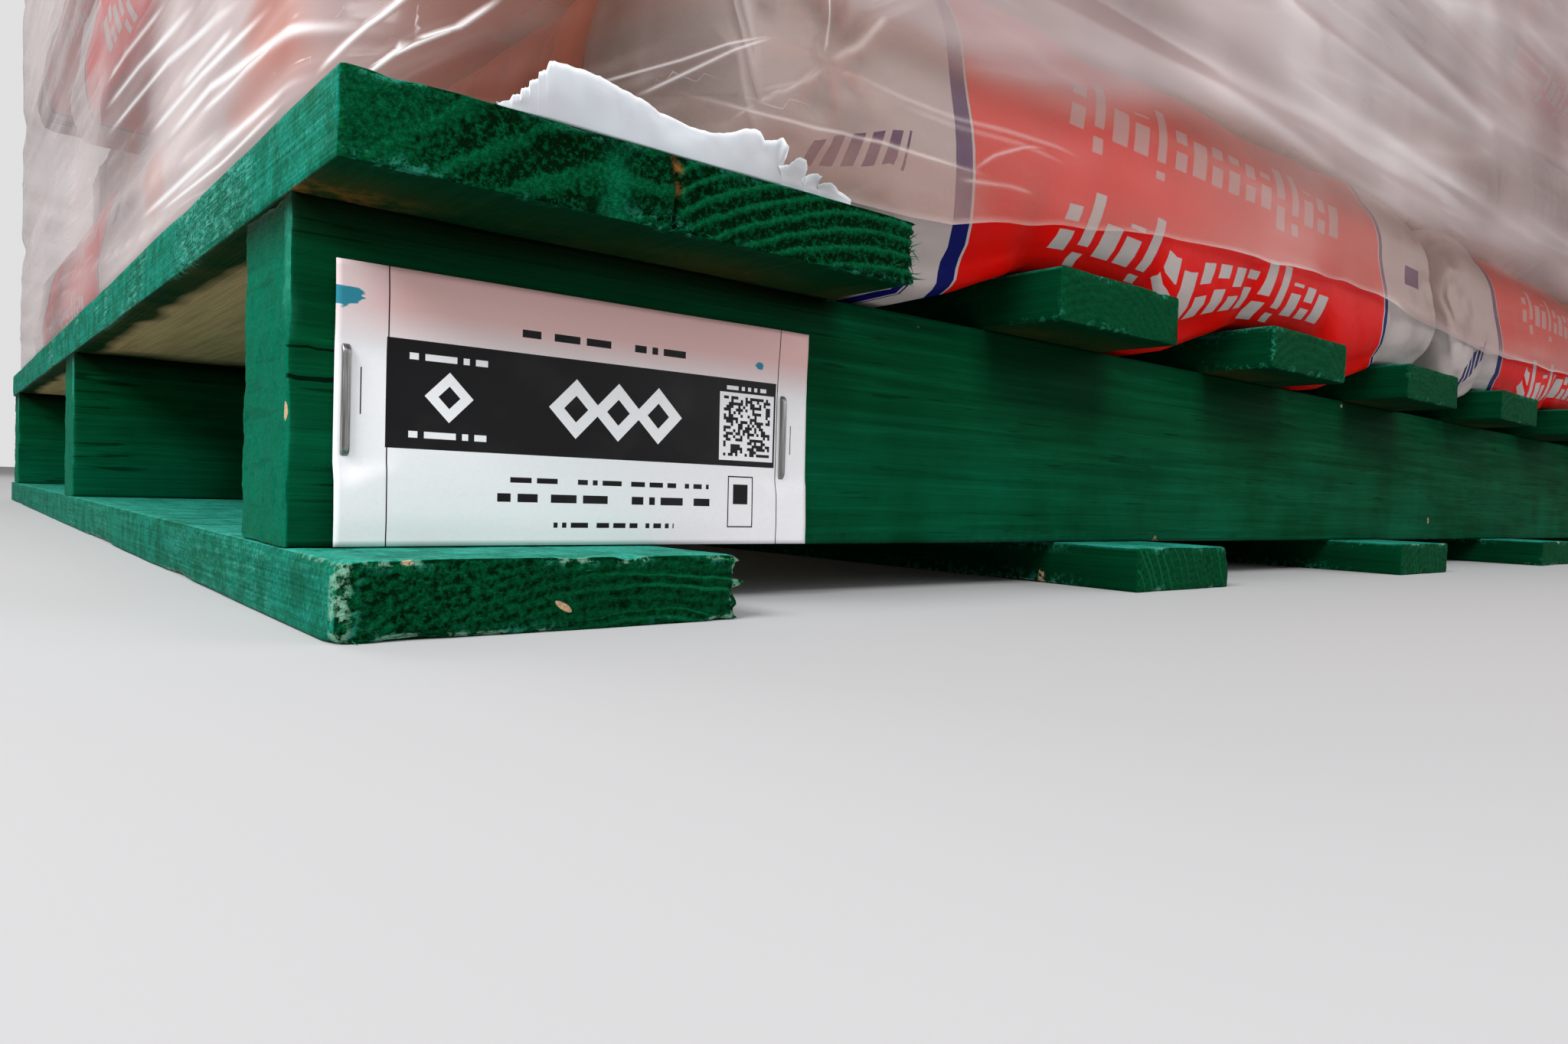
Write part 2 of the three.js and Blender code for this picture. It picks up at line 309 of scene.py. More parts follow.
def read_points(mesh):
    flat = np.empty(len(mesh.vertices) * 3, np.float32)
    mesh.vertices.foreach_get("co", flat)
    return flat.reshape(-1, 3).astype(float)


def write_points(mesh, points):
    mesh.vertices.foreach_set("co", np.asarray(points, np.float32).ravel())
    mesh.update()


def flatten_modifiers(piece):
    """Turns what the modifiers make into a plain mesh and takes them off"""
    graph = bpy.context.evaluated_depsgraph_get()
    made = piece.evaluated_get(graph)
    shape = bpy.data.meshes.new_from_object(made, preserve_all_data_layers=True, depsgraph=graph)
    piece.modifiers.clear()
    piece.data = shape


def finish_piece(piece, slot, *nodes):
    """Rides on the pallet and stands for its CAD nodes"""
    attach(piece, BODY)
    if nodes:
        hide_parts(*nodes)


# Node trees


class Wire:
    """An output of a node, which takes part in sums as a number does"""

    def __init__(self, socket):
        self.socket = socket
        self.tree = socket.id_data

    def __add__(self, other):
        return maths("ADD", self, other)

    def __sub__(self, other):
        return maths("SUBTRACT", self, other)

    def __rsub__(self, other):
        return maths("SUBTRACT", other, self)

    def __mul__(self, other):
        return maths("MULTIPLY", self, other)

    def __truediv__(self, other):
        return maths("DIVIDE", self, other)

    def __lt__(self, other):
        return maths("LESS_THAN", self, other)

    def __gt__(self, other):
        return maths("GREATER_THAN", self, other)

    def __abs__(self):
        return maths("ABSOLUTE", self)


def fill_inputs(node, inputs):
    """Gives a node's inputs their values, or links them to outputs of other nodes"""
    for key, value in inputs.items():
        value = value.socket if isinstance(value, Wire) else value
        if isinstance(value, bpy.types.NodeSocket):
            node.id_data.links.new(value, node.inputs[key])
        else:
            node.inputs[key].default_value = value


def add_node(tree, kind, inputs=None, **settings):
    node = tree.nodes.new(kind)
    for name, value in settings.items():
        setattr(node, name, value)
    fill_inputs(node, inputs or {})
    return node


def add_value(tree, kind, output, inputs=None, **settings):
    """One output of a new node"""
    return Wire(add_node(tree, kind, inputs, **settings).outputs[output])


def maths(operation, *values, clamp=False):
    """Result of one operation on numbers and outputs, of which one at least is an output"""
    tree = next(value.tree for value in values if isinstance(value, Wire))
    inputs = dict(enumerate(values))
    return add_value(tree, "ShaderNodeMath", 0, inputs, operation=operation, use_clamp=clamp)


def scale_add(value, factor, extra, clamp=False):
    """The value times a factor, plus something extra"""
    return maths("MULTIPLY_ADD", value, factor, extra, clamp=clamp)


def either(first, *others):
    """The largest of some values, so 1 where any mask is 1"""
    for other in others:
        first = maths("MAXIMUM", first, other)
    return first


def strip(value, centre, half):
    """1 where a value is within half of centre, and 0 elsewhere"""
    return maths("COMPARE", value, centre, half)


def patch(across, up, left, right, low, high):
    """1 inside a rectangle of two coordinates"""
    wide = strip(across, (left + right) / 2, abs(right - left) / 2)
    return wide * strip(up, (low + high) / 2, abs(high - low) / 2)


def squares(across, up):
    """Sum of the squares of two values"""
    return across * across + up * up


def between(value, low, high, new_low=0.0, new_high=1.0):
    """Maps a value from one range to another, and stays inside it"""
    inputs = {"Value": value, "From Min": low, "From Max": high, "To Min": new_low, "To Max": new_high}
    return add_value(value.tree, "ShaderNodeMapRange", "Result", inputs)


def noise_of(vector, scale, detail=2.0, roughness=0.5, distortion=0.0):
    inputs = {"Vector": vector, "Scale": scale, "Detail": detail, "Roughness": roughness}
    return add_value(vector.tree, "ShaderNodeTexNoise", "Fac", {**inputs, "Distortion": distortion})


def chance_of(number):
    """A value from 0 to 1 that looks random, one for each whole number"""
    return add_value(number.tree, "ShaderNodeTexWhiteNoise", "Value", {"W": number}, noise_dimensions="1D")


def mapped(vector, **changes):
    """Coordinates that are moved, turned or scaled"""
    return add_value(vector.tree, "ShaderNodeMapping", "Vector", {"Vector": vector, **changes})


def stretched(vector, scale):
    return mapped(vector, Scale=scale)


def parts_of(vector):
    """The three numbers of a vector"""
    return [Wire(socket) for socket in add_node(vector.tree, "ShaderNodeSeparateXYZ", {0: vector}).outputs]


def blend(share, first, second):
    """First colour, going to second as share goes from 0 to 1"""
    colours = [value if isinstance(value, Wire) else (*value[:3], 1.0) for value in (first, second)]
    inputs = {0: share, 6: colours[0], 7: colours[1]}
    return add_value(share.tree, "ShaderNodeMix", 2, inputs, data_type="RGBA", clamp_factor=True)


def tinted(colour, *factors):
    """A colour times one factor, or times one for each of its parts"""
    return [part * factor for part, factor in zip(colour, factors * (3 // len(factors)))]


def new_finish(name):
    """A material, its tree, its shader and the place of each point of the surface"""
    material = bpy.data.materials.new(name)
    material.use_nodes = True
    tree = material.node_tree
    place = add_value(tree, "ShaderNodeTexCoord", "Object")
    return material, tree, tree.nodes["Principled BSDF"], place


def set_shader(shader, colour, roughness, specular=0.5, **others):
    fill_inputs(shader, {"Base Color": colour, "Roughness": roughness, "Specular IOR Level": specular})
    fill_inputs(shader, others)


def add_bump(shader, height, strength, distance):
    inputs = {"Height": height, "Strength": strength, "Distance": distance}
    fill_inputs(shader, {"Normal": add_value(height.tree, "ShaderNodeBump", "Normal", inputs)})


def attribute_of(tree, name):
    return add_value(tree, "ShaderNodeAttribute", "Fac", attribute_name=name, attribute_type="GEOMETRY")


def direction_of(tree):
    """Which way the surface faces, as three numbers"""
    return parts_of(add_value(tree, "ShaderNodeNewGeometry", "Normal"))


def new_group(name, **inputs):
    """A geometry nodes group with its inputs, as a tree and their sockets"""
    tree = bpy.data.node_groups.new(name, "GeometryNodeTree")
    tree.interface.new_socket("Geometry", in_out="OUTPUT", socket_type="NodeSocketGeometry")
    for key, kind in {"Geometry": "Geometry", **inputs}.items():
        tree.interface.new_socket(key, in_out="INPUT", socket_type=f"NodeSocket{kind}")
    given = tree.nodes.new("NodeGroupInput").outputs
    return tree, {socket.name: Wire(socket) for socket in given if socket.name}


def finish_group(tree, geometry, material):
    """Ends a group with a plain mesh of one material"""
    real = add_value(tree, "GeometryNodeRealizeInstances", "Geometry", {"Geometry": geometry})
    inputs = {"Geometry": real, "Material": material}
    finished = add_value(tree, "GeometryNodeSetMaterial", "Geometry", inputs)
    add_node(tree, "NodeGroupOutput", {"Geometry": finished})
    return tree


# Timber

# Heart of the tree that the lowest lead board was sawn from, along X and Z
LOWEST_HEART = (-529 * MM, -132.5 * MM)


class Wood:
    """Places, directions and patterns that the layers of paint on a bar share"""

    def __init__(self, tree, place, along):
        self.is_stringer = along == 0
        self.place = place
        self.x, self.y, self.z = parts_of(place)
        self.sideways, _, self.upward = direction_of(tree)
        self.grain = noise_of(self.drawn_out(1.0, 30.0), 9.0, 5.0, 0.62, 0.4)
        self.saw = noise_of(self.drawn_out(7.0, 700.0), 1.6, 3.0, 0.55)
        self.cloud = noise_of(place, 16.0, 4.0, 0.6)
        self.speckle = noise_of(place, 760.0, 3.0, 0.7)
        self.strokes = noise_of(stretched(place, (60.0, 110.0, 560.0)), 1.0, 3.0, 0.6, 0.8)
        marks = ("end_grain", "ring", "worn", "smear", "stain")
        self.end, self.ring, self.worn, self.smear, self.stain = (attribute_of(tree, mark) for mark in marks)
        self.by_floor = between(self.z, 0.03, 0.02)
        # The narrow boards' ends are smooth
        narrow = between(self.x, -0.43, -0.42) * between(self.z, 0.09, 0.097)
        self.pitting = scale_add(narrow, -0.75, 1.0)
        # The boards' long faces are torn in places, worst near the left end
        most = 0.0 if self.is_stringer else 1.0
        self.ripped = between(noise_of(place, 19.0, 2.0, 0.5), 0.49, 0.56, 0.0, most)
        if not self.is_stringer:
            self.ripped = either(self.ripped, between(abs(self.y + 0.375), 0.062, 0.035))
            self.ripped = self.ripped * between(self.z, 0.02, 0.09, 0.35, 1.0)

    def drawn_out(self, lengthways, across):
        """The place, scaled along the grain and across it"""
        if self.is_stringer:
            return stretched(self.place, (lengthways, across, across))
        return stretched(self.place, (across, lengthways, across))


def side_paint(wood, settings):
    """Thin paint on the long faces, darkest in the low grain"""
    tone = scale_add(wood.saw, 0.2, scale_add(wood.grain, 0.5, wood.cloud * 0.3))
    thin = [0.45 * low + 0.55 * high for low, high in zip(settings.paint_dark, settings.paint_mid)]
    colour = blend(between(tone, 0.4, 0.53), thin, settings.paint_mid)
    colour = blend(between(tone, 0.53, 0.68, 0.0, 0.45), colour, settings.paint_light)
    nicks = noise_of(wood.drawn_out(4.0, 60.0), 9.0, 1.0, 0.5)
    return blend(between(nicks, 0.68, 0.74, 0.0, 0.5), colour, settings.paint_dark)


def end_paint(wood, settings):
    """Paint on a sawn end, whose hard rings are smooth and whose soft wood is pitted"""
    # The right half of the lowest board's end is smoother, with hairlines along its rings
    planed = between(wood.x, -0.575, -0.54) * wood.by_floor
    pitted = scale_add(wood.ring, -0.8, 1.15) * between(wood.speckle, 0.36, 0.64, -0.5, 0.5)
    pitted = pitted * scale_add(planed, -0.55, 1.0) * wood.pitting
    radius = maths("SQRT", squares(wood.x - LOWEST_HEART[0], wood.z - LOWEST_HEART[1]))
    radius = scale_add(noise_of(wood.place, 60.0, 2.0, 0.5), 0.004, radius)
    inputs = {"W": radius, "Scale": 620.0, "Detail": 1.0}
    hair = add_value(radius.tree, "ShaderNodeTexNoise", 0, inputs, noise_dimensions="1D")
    hair = between(hair, 0.57, 0.66) * between(wood.cloud, 0.4, 0.56, 0.15, 1.0) * planed
    level = scale_add(wood.cloud, 0.18, scale_add(wood.ring, 0.72, pitted) - 0.03)
    colour = blend(between(level, 0.05, 0.6), settings.paint_dark, settings.paint_mid)
    light = tinted(settings.paint_light, 1.5, 1.05, 0.76)
    colour = blend(between(level, 0.62, 1.15, 0.0, 0.85), colour, light)
    return blend(hair * 0.55, colour, light)


def spray(wood, colour, settings):
    """Thicker paint and painted light on faces turned up or to the left, and thin paint and painted shade on
    those turned down
    """
    rough = scale_add(wood.saw, 0.35, wood.speckle * 0.65)
    mottle = noise_of(wood.place, 75.0, 5.0, 0.7)
    least = 0.80 if wood.is_stringer else 0.42
    built = between(rough, 0.43, 0.57, least, 1.0) * between(mottle, 0.42, 0.56, least, 1.0)
    lit_spray = between(either(wood.sideways * -1.0, wood.upward), 0.5, 0.9) * built
    outer = either(between(wood.x, -0.58, -0.59), between(wood.upward, 0.2, 0.8))
    lit_spray = lit_spray * (outer * between(wood.z, 0.02, 0.09, 0.82, 1.0))
    colour = blend(lit_spray, colour, (0.0, 0.135, 0.072) if wood.is_stringer else settings.lit_spray)
    if not wood.is_stringer:
        # Painted light on the top of a bottom board, which took the most spray
        lit_top = between(wood.upward, 0.6, 0.9) * between(wood.z, 0.019, 0.018)
        colour = blend(lit_top * built, colour, (0.035, 0.36, 0.27))
    # Torn wood has dark cuts, and pale strokes that stand up, painted as highlights
    torn = lit_spray * wood.ripped
    colour = blend(torn * between(wood.strokes, 0.46, 0.4), colour, settings.paint_dark)
    colour = blend(torn * between(wood.strokes, 0.54, 0.61, 0.0, 0.6), colour, (0.13, 0.42, 0.34))
    # Pale flecks on these faces are painted glints
    fleck_glints = between(scale_add(wood.ripped, 0.08, rough), 0.58, 0.66, 0.0, 0.45)
    fleck_glints = lit_spray * fleck_glints * scale_add(wood.end, -0.85, 1.0)
    colour = blend(fleck_glints, colour, (0.12, 0.4, 0.32))
    # Painted shade on left faces inside the pallet and on faces turned down
    inner_left_shade = between(wood.sideways, -0.5, -0.9) * 0.6 * (1.0 - outer)
    missed = either(inner_left_shade, between(wood.upward, -0.5, -0.9, 0.0, 0.7))
    return blend(missed, colour, tinted(settings.paint_mid, 0.3))


def resin(wood, colour, settings):
    """Brown patches on faces turned down"""
    brown = between(wood.upward, -0.5, -0.9) * between(wood.cloud, 0.42, 0.62, 0.1, 0.8)
    return blend(brown * between(wood.y, -0.49, -0.47), colour, (0.036, 0.04, 0.009))


def stringer_marks(wood, colour, settings):
    """Painted shade of the deck boards on a stringer, paint that is lighter towards the bottom, and the
    checks near its end
    """
    if not wood.is_stringer:
        return colour
    # Painted shade right under the lead board
    shade_under_lead = between(wood.z, 0.082, 0.095, 0.0, 0.88) * between(wood.x, -0.43, -0.44)
    colour = blend(shade_under_lead, colour, (0.003, 0.004, 0.001))
    # Painted shade under each narrow board, and lighter paint towards the bottom
    under = []
    for board in TOP_BOARDS[1:4]:
        low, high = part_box(board)
        middle, half = (low.x + high.x) / 2, (high.x - low.x) / 2
        under.append(between(abs(wood.x - middle), half + 10 * MM, half - 6 * MM))
    under = either(*under) * between(wood.z, 0.052, 0.088, 0.0, 0.75)
    colour = blend(under, colour, (0.0003, 0.018, 0.005))
    below = between(wood.z, 0.066, 0.034, 0.0, 0.2) * between(wood.cloud, 0.35, 0.6)
    colour = blend(below, colour, (0.001, 0.15, 0.085))
    check = between(noise_of(stretched(wood.place, (22.0, 22.0, 420.0)), 1.0, 2.0, 0.5), 0.63, 0.67)
    check = check * between(wood.x, -0.556, -0.575) * scale_add(wood.end, -0.5, 0.7)
    colour = blend(check, colour, settings.paint_dark)
    # Two long checks run in from the near left arris
    wavy = scale_add(noise_of(wood.place, 95.0, 2.0, 0.6), 3.5 * MM, wood.z)
    longest = either(strip(wavy, 64.5 * MM, 0.3 * MM), strip(wavy, 57.5 * MM, 0.55 * MM))
    longest = longest * between(wood.x, -0.58, -0.59, 0.0, 0.92) * between(wood.y, -0.46, -0.4615)
    return blend(longest, colour, (0.0, 0.004, 0.002))


def rubbed_edges(wood, colour, settings):
    """Smeared paint, and arrises that are worn pale"""
    colour = blend(wood.smear * between(wood.speckle, 0.3, 0.6, 0.5, 1.0), colour, settings.paint_light)
    patchy = noise_of(wood.place, 360.0, 4.0, 0.7)
    least = 0.4 if wood.is_stringer else 0.0
    colour = blend(wood.worn * between(patchy, 0.5, 0.62, least, 0.75), colour, (0.030, 0.27, 0.18))
    scuffed = between(wood.worn, 0.72, 0.95, 0.0, 0.7) * between(patchy, 0.47, 0.56) * wood.by_floor
    return blend(scuffed, colour, (0.22, 0.4, 0.28))


def bare_underside(wood, colour, settings):
    """Wood under the deck that the spray missed, between the stringers and away from the left end"""
    from_stringer = maths("PINGPONG", abs(wood.y) - 21 * MM, 220 * MM)
    bare = between(wood.upward, -0.9, -0.98) * between(wood.z, 0.09, 0.092)
    bare = bare * between(abs(wood.y), 415 * MM, 408 * MM)
    spilt = scale_add(noise_of(wood.place, 24.0, 1.0, 0.4), 10 * MM, wood.x)
    bare = bare * between(spilt, -0.5865, -0.581)
    bare = bare * between(from_stringer + wood.cloud * (60 * MM), 28 * MM, 70 * MM, 0.0, 0.92)
    darker = tinted(settings.bare_wood, 0.66)
    return blend(bare, colour, blend(between(wood.grain, 0.3, 0.7), settings.bare_wood, darker))


def chips_and_stains(wood, colour, settings):
    chip = scale_add(wood.worn * wood.by_floor, 0.16, noise_of(wood.place, 62.0, 2.0, 0.5))
    chip = between(chip, 0.765, 0.785) * between(wood.speckle, 0.45, 0.5)
    # One bigger chip shows on the near left corner of the stringer, and one on the lowest board's end
    if wood.is_stringer:
        across, up, from_end = wood.y + 460.3 * MM, wood.z - 48.0 * MM, wood.x
        wide, tall = 0.8 * MM, 2.1 * MM
    else:
        across, up, from_end = wood.x + 549.6 * MM, wood.z - 5.7 * MM, wood.y - 104 * MM
        wide, tall = 2.1 * MM, 0.9 * MM
    away = squares(across / wide, scale_add(across, 0.5, up) / tall)
    flake = between(scale_add(wood.speckle, 0.8, away), 1.6, 1.2) * between(from_end, -0.596, -0.5985)
    colour = blend(either(chip, flake) * 0.85, colour, (0.6, 0.37, 0.22))
    stain = wood.stain * between(noise_of(wood.place, 230.0, 3.0, 0.6), 0.42, 0.6)
    return blend(stain, colour, settings.stain)


def painted_timber(name, along, settings):
    """Green paint over sawn wood whose grain runs along X or Y"""
    material, tree, shader, place = new_finish(name)
    wood = Wood(tree, place, along)
    colour = blend(wood.end, side_paint(wood, settings), end_paint(wood, settings))
    for layer in (spray, resin, stringer_marks, rubbed_edges, bare_underside, chips_and_stains):
        colour = layer(wood, colour, settings)
    set_shader(shader, colour, between(wood.grain, 0.25, 0.75, 0.66, 0.5), 0.012)
    saw_depth, torn_depth = (0.3, 0.25) if wood.is_stringer else (0.45, 1.5)
    height = scale_add(wood.saw, saw_depth, wood.grain * 0.5)
    height = scale_add(wood.speckle, scale_add(wood.end, wood.pitting * torn_depth, 0.18), height)
    height = scale_add(wood.ripped * wood.strokes, 1.2, height)
    add_bump(shader, height, 0.75, 0.9 * MM)
    return material


def sawn_skin(low, high, along, step):
    """Points and faces of a bar that is fine at its near end and coarse elsewhere"""
    across = 1 - along
    length = high[along] - low[along]
    wide = max(4, round((high[across] - low[across]) / step))
    deep = max(4, round((high[2] - low[2]) / step))

    def cells(fine):
        """Places across and up, all of them or every fourth"""
        beat = 1 if fine else 4
        return [sorted({0, 1, last - 1, last, *range(0, last + 1, beat)}) for last in (wide, deep)]

    def loop(wides, deeps):
        return (
            [(i, deep) for i in wides[:-1]]
            + [(wide, j) for j in reversed(deeps[1:])]
            + [(i, 0) for i in reversed(wides[1:])]
            + [(0, j) for j in deeps[:-1]]
        )

    stations = [(d * MM, True) for d in (0, 0.5, 1.2, 2.2, 3.6, 5.5, 8, 11, 15, 20)]
    tail = [(length - d * MM, False) for d in (4, 1.2, 0)]
    first = stations[-1][0] + 6 * MM
    last = tail[0][0] - 6 * MM
    count = max(2, round((last - first) / (9 * MM)))
    stations += [(first + (last - first) * k / count, False) for k in range(count + 1)] + tail

    points, faces, loops = [], [], []

    def place(i, j, distance):
        point = [0.0, 0.0, 0.0]
        point[along] = low[along] + distance
        point[across] = low[across] + (high[across] - low[across]) * i / wide
        point[2] = low[2] + (high[2] - low[2]) * j / deep
        points.append(point)
        return len(points) - 1

    for distance, fine in stations:
        keys = loop(*cells(fine))
        loops.append((keys, {key: place(*key, distance) for key in keys}))
    for (keys, ids), (next_keys, next_ids) in zip(loops, loops[1:]):
        if len(keys) == len(next_keys):
            for a, b in zip(keys, keys[1:] + keys[:1]):
                faces.append((ids[a], ids[b], next_ids[b], next_ids[a]))
            continue
        # Triangles join the last fine loop to the first coarse one
        marks = [keys.index(key) for key in next_keys] + [len(keys)]
        ring = keys + keys[:1]
        corners = next_keys + next_keys[:1]
        for n in range(len(next_keys)):
            run = ring[marks[n] : marks[n + 1] + 1]
            middle = len(run) // 2
            for m in range(len(run) - 1):
                anchor = corners[n] if m < middle else corners[n + 1]
                faces.append((ids[run[m]], ids[run[m + 1]], next_ids[anchor]))
            faces.append((next_ids[corners[n]], ids[run[middle]], next_ids[corners[n + 1]]))
    for (keys, ids), (distance, fine) in ((loops[0], stations[0]), (loops[-1], stations[-1])):
        wides, deeps = cells(fine)
        ids = dict(ids)
        for i in wides[1:-1]:
            for j in deeps[1:-1]:
                ids[i, j] = place(i, j, distance)
        for i, i2 in zip(wides, wides[1:]):
            for j, j2 in zip(deeps, deeps[1:]):
                faces.append((ids[i, j], ids[i2, j], ids[i2, j2], ids[i, j2]))
    return np.array(points), faces


def growth_rings(points, along, heart, spacing, seed):
    """Height of the hard rings on a sawn end, from 0 to 1, about the heart of the tree"""
    radius = np.hypot(points[:, 1 - along] - heart[0], points[:, 2] - heart[1])
    flat = points.copy()
    flat[:, along] = 0
    for share, cell, offset in ((0.22, 16 * MM, 0), (0.07, 4 * MM, 5)):
        radius = radius + share * spacing * soft_noise(flat, cell, seed + offset)
    turn = (radius / spacing) % 1.0
    return ramp(turn, 0.34, 0.76) * (1 - ramp(turn, 0.84, 1.0))


def split_end(points, seed):
    """Rings, crack, smear, ragged lower edge and hollow of the near left lead board's end"""
    x, z = points[:, 0], points[:, 2]
    from_crack = x - CRACK - 1.2 * MM * soft_noise(np.outer(z, (1, 0, 0)), 4 * MM, seed)
    # Wide rings left of the crack, smoothest by the board's left end, and narrow ones right of it
    heart_x, heart_z = -527 * MM, 44 * MM
    rising = growth_rings(points, 1, [heart_x, heart_z], 11.0 * MM, seed)
    turned = np.arctan2(x - heart_x, z - heart_z)
    grains = np.stack([np.hypot(x - heart_x, z - heart_z), 70 * MM * turned, 0 * x], 1)
    rising = 0.12 + 0.72 * np.maximum(rising, 0.75 * ramp(-x, 568 * MM, 590 * MM))
    rising += (0.85 - rising) * 0.5 * soft_noise(grains, (1.0 * MM, 1.8 * MM, 1), seed + 1, 2)
    arcs = 0.06 + 0.94 * growth_rings(points, 1, [-440 * MM, -32 * MM], 4.46 * MM, seed)
    ring = np.where(from_crack < 0, rising, arcs)
    crack = hump(from_crack, 0, 0.8 * MM)
    smear = hump(x, -536.5 * MM, 3.4 * MM) * ramp(-z, -118 * MM, -104 * MM)
    ragged = hump(x, -522 * MM, 11 * MM) * ramp(-z, -103 * MM, -98 * MM)
    hollow = hump(x, -550 * MM, 9 * MM) * hump(z, 110 * MM, 3 * MM)
    return ring, crack, np.clip(smear, 0, 1), ragged, hollow


def ease_edges(points, low, high, radius):
    """Rounds the long and short edges of a bar's skin by a radius for each point"""
    radius = np.maximum(radius, 1e-5)[:, None]
    core = np.clip(points, low + radius, high - radius)
    away = points - core
    reach = np.maximum(np.linalg.norm(away, axis=1, keepdims=True), 1e-9)
    return core + away / reach * np.minimum(radius, reach), away / reach


def timber_piece(node, along, material, settings, seed):
    """Puts a sawn and painted bar in place of its plain solid"""
    low, high = (np.array(corner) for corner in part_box(node))
    lead, shown, lowest = "lead" in node, node == SHOWN_BOARD, node == LOWEST_BOARD
    points, faces = sawn_skin(low, high, along, (0.7 if shown else 1.0 if lead else 1.5) * MM)
    x, y, z = points.T
    rng = np.random.default_rng(seed)
    width = high[1 - along] - low[1 - along]
    heart = [low[1 - along] + width * rng.uniform(0.2, 0.8), low[2] - rng.uniform(5, 60) * MM]
    spacing = rng.uniform(3.0, 5.0) * MM
    if lowest:
        heart, spacing = LOWEST_HEART, 2.7 * MM
    stretch = np.ones(3)
    stretch[along] = 0.25
    wear = soft_noise(points * stretch, 14 * MM, seed, 2)
    radius = settings.arris * (1.0 + 0.9 * np.maximum(wear, -0.4) + 2.2 * ramp(wear, 0.35, 0.8))
    knocked = ramp(-np.hypot(x - low[0], y - low[1]), -9 * MM, -1 * MM) * lowest
    eased, outward = ease_edges(points, low, high, radius + knocked * 2.4 * MM)
    toward_end = np.minimum(points[:, along] - low[along], high[along] - points[:, along])
    cap = ramp(-toward_end, -0.4 * MM, 0.0)
    near_end = points[:, along] - low[along] < (high[along] - low[along]) / 2

    # The ends: rings, pits and what is special to the board that shows best
    level, swing = (0.45, 0.4) if lead else (0.62, 0.25)
    ring = level + swing * (growth_rings(points, along, heart, spacing, seed) - 0.45)
    crack = smear = ragged = hollow = np.zeros(len(points))
    if shown:
        ring, crack, smear, ragged, hollow = (mark * near_end for mark in split_end(points, seed))
    pits = ramp(soft_noise(points, 2.6 * MM, seed + 9, 2), 0.15, 0.7) * (1 - ring)
    torn = ramp(soft_noise(points, (14 * MM, 400 * MM, 9 * MM), seed + 3), 0.0, 0.6)
    dent = settings.ring_depth * ((1 - ring) * 0.55 + pits * (0.5 + 0.9 * torn))
    dent += 0.25 * MM * soft_noise(points, 6 * MM, seed + 2) + 1.6 * MM * crack + 0.9 * MM * hollow
    dent += ragged * 1.6 * MM * ramp(soft_noise(points, 1.8 * MM, seed + 12), -0.2, 0.5)
    eased[:, along] += np.where(near_end, 1.0, -1.0) * cap * np.maximum(dent, 0)
    rough = np.maximum(soft_noise(points * stretch, 5 * MM, seed + 4, 2), 0) * 0.22 * MM
    eased -= outward * ((1 - cap) * rough)[:, None]
    if shown or lowest:
        # Splinters at the right of the near end stand out at each hard ring
        beside = ramp(x, high[0] - 1.6 * MM, high[0]) * ramp(-y, -low[1] - 5 * MM, -low[1])
        tooth = ramp(soft_noise(points, (9 * MM, 9 * MM, 1.1 * MM), seed + 14), -0.2, 0.5)
        eased[:, 0] += beside * ((4.2 if lowest else 2.6) * MM * tooth - 0.9 * MM * (1 - ring))

    # Where the arrises are worn, and the stains
    edges = np.sort(np.minimum(points - low, high - points), axis=1)[:, 1]
    worn = ramp(-edges, -3.0 * MM, -0.5 * MM) * ramp(wear, -0.15, 0.5)
    if along == 0:
        worn *= 0.3 * (z < high[2] - 4 * MM)
        rubbed = ramp(z, 66 * MM, 76 * MM) * ramp(-z, -95 * MM, -90 * MM) * cap
        worn = np.maximum(worn, rubbed * ramp(low[1] - y, -6.0 * MM, -3.5 * MM))
    worn = np.maximum(worn, knocked)
    if shown:
        corner = ramp(-x, 568 * MM, 585 * MM) * ramp(-z, -100.5 * MM, -98 * MM)
        worn = np.maximum(worn, cap * near_end * np.maximum(corner, 1.2 * ragged))
    under = shown * (z < low[2] + 0.5 * MM) * hump(y, -465 * MM, 5 * MM) * ramp(-x, 565 * MM, 596 * MM)
    rusty = crack * cap * ramp(z, 105.5 * MM, 109.5 * MM)
    piece = new_piece(node + "_wood", eased, faces, material)
    write_attributes(
        piece,
        end_grain=cap,
        ring=np.clip(ring - 0.5 * hollow - 0.3 * pits - 0.6 * crack, 0, 1),
        worn=worn,
        smear=0.75 * smear * cap,
        stain=np.clip(1.5 * rusty + 0.8 * under, 0, 1),
    )
    finish_piece(piece, "painted_timber", node)


class SACKS_OT_timber(bpy.types.Operator):
    """Saws and paints the stringers and boards"""

    bl_idname = "pallet_of_sacks.timber"
    bl_label = "Timber"

    def execute(self, context):
        settings = context.scene.sacks_timber
        beam_paint = painted_timber("stringer_paint", 0, settings)
        board_paint = painted_timber("board_paint", 1, settings)
        for number, node in enumerate(STRINGERS):
            timber_piece(node, 0, beam_paint, settings, 11 + number)
        for number, node in enumerate(TOP_BOARDS + BOTTOM_BOARDS):
            timber_piece(node, 1, board_paint, settings, 31 + number)
        return {"FINISHED"}


